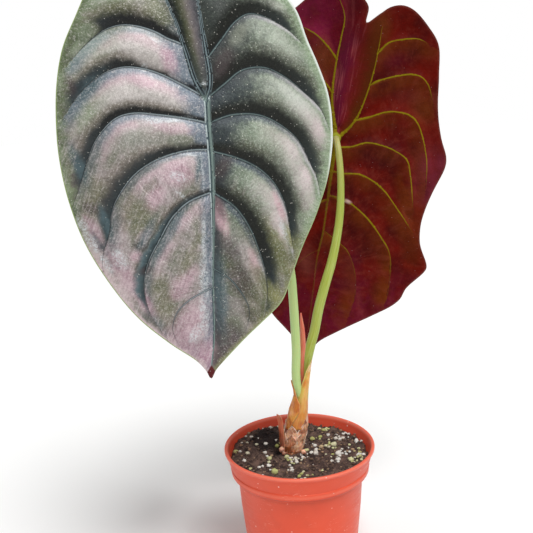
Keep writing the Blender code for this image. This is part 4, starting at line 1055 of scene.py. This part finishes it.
def make_rhizome():
    """Short upright stem wrapped in the torn feet of old leaf stalks."""
    # Its colours are lighter and warmer than the dry tissue: painted warm light where the leaves shade the stem.
    look = paper_look("rhizome", "#c46c3e", "#ffbc96", "#ffdecc", "#843e1a", rim_from=0.7)
    verts, high, across = [], [], []
    levels = np.concatenate([[HOLE_BOTTOM_Z + 0.3], np.linspace(50, CROWN_Z, 40)])
    for z in levels:
        f = (z - levels[0]) / (levels[-1] - levels[0])
        radius = STEM_RADIUS - 0.6 * f
        for k in range(STEM_SIDES):
            a = 2 * math.pi * k / STEM_SIDES
            ring = (z * 0.3 + 0.9 * math.sin(a * 2 + 0.6)) % 1.0
            bulge = 0.3 * noise.noise(Vector((math.cos(a) * 2, math.sin(a) * 2, z * 0.5)))
            r = radius + 0.5 * ring ** 2 - 0.4 + bulge
            verts.append((rhizome_x(z) + r * math.cos(a), r * math.sin(a), z))
            high.append(ring * 0.5)
            across.append(smoothstep(0.84, 1.0, ring))
    faces = barrel(len(levels), STEM_SIDES)
    for k, (z0, height, facing, flare, tone) in enumerate(SCALES):
        stations = []
        for h, r in [(0, 4.2), (0.3, 4.6), (0.6, 4.75), (0.85, 4.8 + 0.6 * flare), (1, 4.7 + flare)]:
            width = 48 * (1 - h ** 2) + 1.5
            stations.append((h, rhizome_x(z0 + h * height), 0, r, r, facing - width, facing + width))
        v, f, field = scoop(z0, height, stations, seed=20 + k, rows=30, cols=27, fray=1)
        join(verts, faces, v, f)
        high += (field[:, 0] * 0.8 + tone).tolist()
        across += field[:, 1].tolist()
    for at, size in [((-7.6, -3.4, 55.4), 1.3), ((-6.8, -5.0, 54.6), 0.9), ((1.6, -5.4, 55.0), 1.1)]:
        v, f = lump(random.Random(int(size * 10)), size, 1.2)
        join(verts, faces, v + at, f)
        high += [0.7] * len(v)
        across += [0.8] * len(v)
    return dress(add_mesh("rhizome_skin", verts, faces, [look], {"high": high, "across": across}), "rhizome")


# Pot

# Closed outline of the wall, from the middle of the bottom, up outside and down inside:
# a radius and a height, and points as offsets from them.
POT_PROFILE = [
    (0, 0, "0,0 7.8,0 8.15,0.15 8.7,1.2 17.3,1.2 17.85,0.15 18.2,0"),
    (POT_BASE_RADIUS, 0, "-0.7,0 -0.15,0.25 0.1,0.8 0.5,4"),
    (BODY_TOP_RADIUS, 30, "-0.9,0"),
    (BODY_TOP_RADIUS, BAND_Z, "-0.05,-2.8 0.35,-1.9"),
    (BAND_RADIUS, BAND_Z, "-0.9,-0.75 -0.1,-0.45 0.15,-0.05 0.42,2 0.4,2.3 0.2,2.5 0.25,2.8"),
    (POT_LIP_RADIUS, POT_HEIGHT, "-0.9,-2.3 -0.78,-1.85 -0.3,-1.5 -0.04,-1.1 0,-0.7 -0.12,-0.3 -0.4,-0.06 "
                                 "-0.75,0 -1.1,-0.08 -1.4,-0.4 -1.9,-1.5"),
    (BAND_RADIUS - POT_WALL, BAND_Z, "-0.2,0.9"),
    (BODY_TOP_RADIUS - POT_WALL, BAND_Z, "0,-1.4"),
    (POT_BASE_RADIUS - POT_WALL, FLOOR_Z, "0.6,1.2 -0.1,0.4 -0.8,0"),
    (0, FLOOR_Z, "0,0"),
]


def pot_look():
    """Moulded coral terracotta plastic with fine scuffs, painted shade under the ledge and on the inner wall, and
    painted highlights above the ledge and on the lip.
    """
    k = Look("pot_plastic")
    x, y, z = k.axis(0), k.axis(1), k.axis(2) * 1000
    k.colour = k.blend(k.noise(70, 3, 0.55).step(0.3, 0.7), "#de5032", "#e25436")
    smear = k.noise(1, 3, 0.6, (x * 120, y * 120, z * 0.9))
    scratch = k.noise(1, 2, 0.5, (x * 300, y * 300, z * 2.2), bend=2)
    out = (x ** 2 + y ** 2).root() * 1000 + (z * -0.19 + 0.19 * BAND_Z)
    for share, tint in [
            (smear.step(0.58, 0.8, 0, 0.14), "#ec8c74"),
            (scratch.step(0.66, 0.72) * k.noise(90, 1).step(0.52, 0.62, 0, 0.5), "#f8baa4"),
            # Darker band just under the ledge: painted shade.
            (z.step(BAND_Z - 4.5, BAND_Z - 1.2) * z.step(BAND_Z + 0.1, BAND_Z - 0.5) * 0.45, "#a0321e"),
            # Lighter strip just above the ledge: painted highlight.
            (z.step(BAND_Z + 0.2, BAND_Z + 0.7) * z.step(BAND_Z + 2.2, BAND_Z + 1.2) * 0.35, "#f67c60"),
            # Lighter strip on the lip: painted highlight.
            (z.step(POT_HEIGHT - 1.6, POT_HEIGHT - 0.6) * z.step(POT_HEIGHT + 0.2, POT_HEIGHT - 0.3) * 0.4, "#f49680"),
            (k.cells(420).step(0.2, 0.1) * k.noise(500, 0).step(0.63, 0.7) * 0.7, "#f0d6c8"),
            (z.step(53.5, 50) * k.noise(160, 3).step(0.45, 0.75, 0, 0.08), "#963e2e"),
            # Darker upper inner wall: painted shade.
            (out.step(BAND_RADIUS - 0.3, BAND_RADIUS - 0.8) * z.step(BAND_Z + 0.5, BAND_Z + 4) * 0.28, "#84281a")]:
        k.lay(share, tint)
    normal = k.bump(k.noise(1800, 3, 0.6) + smear * 0.4, 0.12, 0.0002)
    return k.finish(smear.step(0.3, 0.75, 0.34, 0.5), Normal=normal, IOR=1.46, Subsurface_Weight=0.1,
                    Subsurface_Scale=0.003, Specular_IOR_Level=0.4)


def make_pot():
    ring = [(r + out, z + up) for r, z, offsets in POT_PROFILE for out, up in table(offsets)][1:-1]
    verts = [(0, 0, 0), (0, 0, FLOOR_Z)]
    for r, z in ring:
        verts += circle(r, z, POT_SIDES)
    faces = grid_faces(len(ring), POT_SIDES, wrap=True, start=2)
    last = 2 + (len(ring) - 1) * POT_SIDES
    for k in range(POT_SIDES):
        m = (k + 1) % POT_SIDES
        faces += [(0, 2 + m, 2 + k), (1, last + k, last + m)]
    pot = add_mesh("pot_shell", verts, faces, [pot_look()])
    holes, walls = [], []
    for x, y, _ in circle(DRAIN_RING_RADIUS, 0, DRAIN_HOLES, turn=0.57):
        walls += barrel(2, DRAIN_SIDES, start=len(holes))
        for z in DRAIN_REACH:
            holes += circle(DRAIN_HOLE_RADIUS, z, DRAIN_SIDES, x, y, turn=0.37)
    cutter = add_mesh("drain_cutter", holes, walls, [])
    mod = pot.modifiers.new("drain", "BOOLEAN")
    mod.operation, mod.solver, mod.object = "DIFFERENCE", "EXACT", cutter
    pot.data = bpy.data.meshes.new_from_object(pot.evaluated_get(bpy.context.evaluated_depsgraph_get()))
    pot.modifiers.clear()
    bpy.data.objects.remove(cutter)
    pot.data.set_sharp_from_angle(angle=math.radians(50))
    return dress(pot, "pot")


# Soil
def soil_height(x, y):
    """The loose surface of the CAD soil, with clods and hollows on it."""
    def rough(scale, layer):
        return noise.noise(Vector((x * scale, y * scale, layer)))

    wave = 0.5 * math.sin(0.31 * x + 1.1) * math.cos(0.27 * y - 0.4) + 0.35 * math.sin(0.83 * x - 0.6 * y)
    mound = 0.9 * math.exp(-((x - BASE_CENTRE[0]) ** 2 + (y - BASE_CENTRE[1]) ** 2) / 130)
    clod = 1.3 * rough(0.34, 1.7) + 0.7 * abs(rough(0.9, 5.1))
    crumb = 0.32 * rough(2.3, 9) + 0.16 * rough(5, 2)
    hollow = 1.4 * math.exp(-((x + 9.5) ** 2 / 10 + (y + 1) ** 2 / 40))
    heap = 1.7 * math.exp(-((x + 15) ** 2 / 40 + (y - 13) ** 2 / 90))
    return SOIL_TOP_Z + wave + mound - 0.018 * x + clod + crumb - hollow + heap


def inner_radius(z):
    """Radius of the pot's inside at a height."""
    heights = (FLOOR_Z, FLOOR_Z + 1.2, BAND_Z - 1.4, BAND_Z + 0.9, POT_HEIGHT - 1.4)
    outside = (POT_BASE_RADIUS - 0.8, POT_BASE_RADIUS + 0.6, BODY_TOP_RADIUS, BAND_RADIUS - 0.2, POT_LIP_RADIUS - 0.7)
    return float(np.interp(z, heights, outside)) - POT_WALL


def darken_soil_by_stem(k):
    """Darker soil behind the stem, and painted shade in the hollow beside it."""
    x, y = k.axis(0) * 1000, k.axis(1) * 1000
    # The larger spot darkens the soil behind and left of the stem; the small one is painted shade in the hollow beside
    # it.
    dark_spot = k.spot(x, y, -14.5, 11, 9, 15, 0.5).top(k.spot(x, y, -9, -1, 3.6, 7.5))
    k.lay(dark_spot * 0.88, "#1c1212")


def soil_look():
    k = Look("peat")
    k.colour = k.blend(k.noise(260, 4, 0.65).step(0.35, 0.7), "#322422", "#70584e")
    k.lay(k.noise(900, 2, 0.6, bend=1.5).step(0.6, 0.72, 0, 0.6), "#967a62")
    darken_soil_by_stem(k)
    return k.finish(0.92, Normal=k.bump(k.noise(1600, 4, 0.7), 0.9, 0.0006), IOR=1.4)


def perlite_look():
    k = Look("perlite")
    k.colour = k.ramp(k.field("tint"), [(0, "#dedcd4"), (0.45, "#d4ccc2"), (0.7, "#cecc9c"), (0.86, "#acb068"),
                                        (1, "#bea484")])
    k.lay(k.noise(600, 3, 0.6).step(0.5, 0.72, 0, 0.45), "#786250")
    return k.finish(0.85, Normal=k.bump(k.cells(1500), 0.5, 0.0004), IOR=1.4)


def crumb_look():
    k = Look("peat_crumbs")
    k.colour = k.ramp(k.field("tint"), [(0, "#342622"), (0.55, "#624c40"), (0.85, "#92745c"), (1, "#b49474")])
    k.lay(k.noise(800, 3).step(0.4, 0.7, 0, 0.5), "#1e1614")
    darken_soil_by_stem(k)
    return k.finish(0.9, Normal=k.bump(k.noise(2200, 3, 0.7), 0.8, 0.0004))


def make_soil():
    cx, cy = BASE_CENTRE
    hole = STEM_RADIUS - 0.4
    edge_radius = inner_radius(SOIL_TOP_Z) - 0.2
    verts = []
    for f in np.linspace(0, 1, SOIL_RINGS):
        for x, y, _ in circle(hole + (edge_radius - hole) * f, 0, SOIL_SIDES, cx * (1 - f), cy * (1 - f)):
            verts.append((x, y, soil_height(x, y) - 0.9 * max(0, f - 0.94) / 0.06))
    for z in (BAND_Z + 1.2, BAND_Z - 1.6, FLOOR_Z + 1.5, FLOOR_Z + 0.3):
        verts += circle(inner_radius(z) - 0.3, z, SOIL_SIDES)
    faces = [f[::-1] for f in barrel(SOIL_RINGS + 4, SOIL_SIDES)]
    return dress(add_mesh("soil_top", verts, faces, [soil_look()]), "soil")


def lump(draw, size, flat):
    """Rough little stone: an icosphere's twelve corners split once, each pushed in or out."""
    g = (1 + math.sqrt(5)) / 2
    pts = [Vector(p).normalized() for p in [
        (-1, g, 0), (1, g, 0), (-1, -g, 0), (1, -g, 0), (0, -1, g), (0, 1, g),
        (0, -1, -g), (0, 1, -g), (g, 0, -1), (g, 0, 1), (-g, 0, -1), (-g, 0, 1)]]
    tris = [(0, 11, 5), (0, 5, 1), (0, 1, 7), (0, 7, 10), (0, 10, 11), (1, 5, 9), (5, 11, 4), (11, 10, 2),
            (10, 7, 6), (7, 1, 8), (3, 9, 4), (3, 4, 2), (3, 2, 6), (3, 6, 8), (3, 8, 9), (4, 9, 5),
            (2, 4, 11), (6, 2, 10), (8, 6, 7), (9, 8, 1)]
    halves, split = {}, []
    for a, b, c in tris:
        mids = []
        for u, v in ((a, b), (b, c), (c, a)):
            key = (min(u, v), max(u, v))
            if key not in halves:
                halves[key] = len(pts)
                pts.append((pts[u] + pts[v]).normalized())
            mids.append(halves[key])
        split += [(a, mids[0], mids[2]), (b, mids[1], mids[0]), (c, mids[2], mids[1]), tuple(mids)]
    turn = Matrix.Rotation(draw.uniform(0, 6.28), 3, "Z") @ Matrix.Rotation(draw.uniform(0, 3.14), 3, "X")
    shift = Vector((draw.uniform(0, 50), draw.uniform(0, 50), 0))
    stretch = Vector((1, draw.uniform(0.7, 1), flat))
    return np.array([(turn @ p) * stretch * size * (0.85 + 0.5 * noise.noise(p * 1.6 + shift)) for p in pts]), split


def scatter(name, look, groups, low, high, seed):
    """Grains pressed into the soil in (x, y, spread, count, first tint, last tint) groups."""
    draw = random.Random(seed)
    verts, faces, tint, spots = [], [], [], []
    for cx, cy, spread, count, first, last in groups:
        placed, tries = 0, 0
        while placed < count and tries < 60 * count:
            tries += 1
            a, r = draw.uniform(0, 2 * math.pi), spread * math.sqrt(draw.random())
            x, y = cx + r * math.cos(a), cy + r * math.sin(a)
            size = draw.uniform(low, high) * (0.6 + 0.7 * draw.random() ** 2)
            hue = draw.uniform(first, last)
            if math.hypot(x - BASE_CENTRE[0], y - BASE_CENTRE[1]) < STEM_CLEAR + size * 0.5:
                continue
            if math.hypot(x, y) > inner_radius(SOIL_TOP_Z) - size - 0.2:
                continue
            if any((x - u) ** 2 + (y - v) ** 2 < (0.75 * (size + w)) ** 2 for u, v, w in spots):
                continue
            placed += 1
            spots.append((x, y, size))
            v, f = lump(draw, size, draw.uniform(0.6, 0.95))
            join(verts, faces, v + (x, y, soil_height(x, y) + GRAIN_LIFT * size), f)
            tint += [hue] * len(v)
    piece = add_mesh(name, verts, faces, [look], {"tint": tint})
    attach(piece, "root")
    return piece


# Room
def make_room():
    side = 3.0
    floor = bpy.data.objects.new("floor", bpy.data.meshes.new("floor"))
    floor.data.from_pydata([(-side, -side, 0), (side, -side, 0), (side, side, 0), (-side, side, 0)], [], [(0, 1, 2, 3)])
    bpy.context.scene.collection.objects.link(floor)
    look = Look("floor")
    look.colour = look.blend(look.noise(3, 2), "#f6f6f5", "#fafaf9")
    floor.data.materials.append(look.finish(0.8))
    light = bpy.data.lights.new("sky", "SUN")
    light.energy, light.angle = 2.45, math.radians(28)
    lamp = bpy.data.objects.new("sky", light)
    bpy.context.scene.collection.objects.link(lamp)
    lamp.rotation_euler = Vector((-0.2, 0.42, -0.9)).to_track_quat("-Z", "Y").to_euler()
    world = bpy.data.worlds.new("room")
    world.use_nodes = True
    tree = world.node_tree
    back = tree.nodes["Background"]
    path = tree.nodes.new("ShaderNodeLightPath")
    power = tree.nodes.new("ShaderNodeMapRange")
    tree.links.new(path.outputs["Is Camera Ray"], power.inputs["Value"])
    power.inputs["To Min"].default_value = 0.45
    power.inputs["To Max"].default_value = 1.0
    tree.links.new(power.outputs[0], back.inputs["Strength"])
    back.inputs["Color"].default_value = (1, 1, 1, 1)
    bpy.context.scene.world = world
    bpy.context.scene.view_settings.view_transform = "Standard"


make_camera()
make_room()
skin, lower_skin = upper_look(), under_look()
front = Blade(FRONT_OUTLINE, FRONT_MIDRIB, [FRONT_LOBE_LEFT, FRONT_LOBE_RIGHT], FRONT_SIDE_VEINS, FRONT_BEND)
dress(front.build("front_blade", FRONT_AT, FRONT_TURN, skin, lower_skin), "leaf_front")
back = Blade(BACK_OUTLINE, BACK_MIDRIB, [BACK_LOBE_LEFT, BACK_LOBE_RIGHT], BACK_SIDE_VEINS, BACK_BEND)
dress(back.build("back_blade", BACK_AT, BACK_TURN, skin, lower_skin), "leaf_back")
look = stalk_look("stalk_front", "#aac270", "#b2ce80", "#9aae64")
make_stalk("stalk_front", STALK_FRONT, FRONT_AT, FRONT_TURN, look)
look = stalk_look("stalk_back", "#a0b034", "#98a634", "#a8a25a")
make_stalk("stalk_back", STALK_BACK, BACK_AT, BACK_TURN, look)
# The new leaf's reds are darkened as painted shade.
look = stalk_look("new_leaf", "#bc6840", "#d25444", "#de4e48")
dress(tube("new_leaf_roll", NEW_LEAF, look, sides=24, step=0.8), "new_leaf")
look = paper_look("sheath_right", "#de8a3e", "#f2ba58", "#f8ce8c", "#e28c32", "#b8a63e", 0.9, STAINS_RIGHT)
dress(make_sheath("sheath_right_skin", CROWN_Z - 1.0, 29.3, SHEATH_RIGHT, look, seed=1), "sheath_right")
look = paper_look("sheath_left", "#eaa448", "#e49222", "#f4be8c", "#b85810", stains=STAINS_LEFT)
dress(make_sheath("sheath_left_skin", CROWN_Z - 1.6, 22.7, SHEATH_LEFT, look, seed=2), "sheath_left")
# The old scale's foot is dark brown: its dry colour with painted shade on its lower half.
look = paper_look("old_scale", "#603e30", "#d67854", "#e29674", "#964a1e")
old_scale = make_sheath("old_scale", 54.0, 17.6, OLD_SCALE, look, seed=7)
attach(old_scale, "root")
make_rhizome()
make_pot()
make_soil()
scatter("perlite_grains", perlite_look(), PERLITE, low=0.8, high=1.45, seed=11)
scatter("peat_crumbs", crumb_look(), [(0, 0, 29.5, 900, 0, 1)], low=0.2, high=0.85, seed=12)
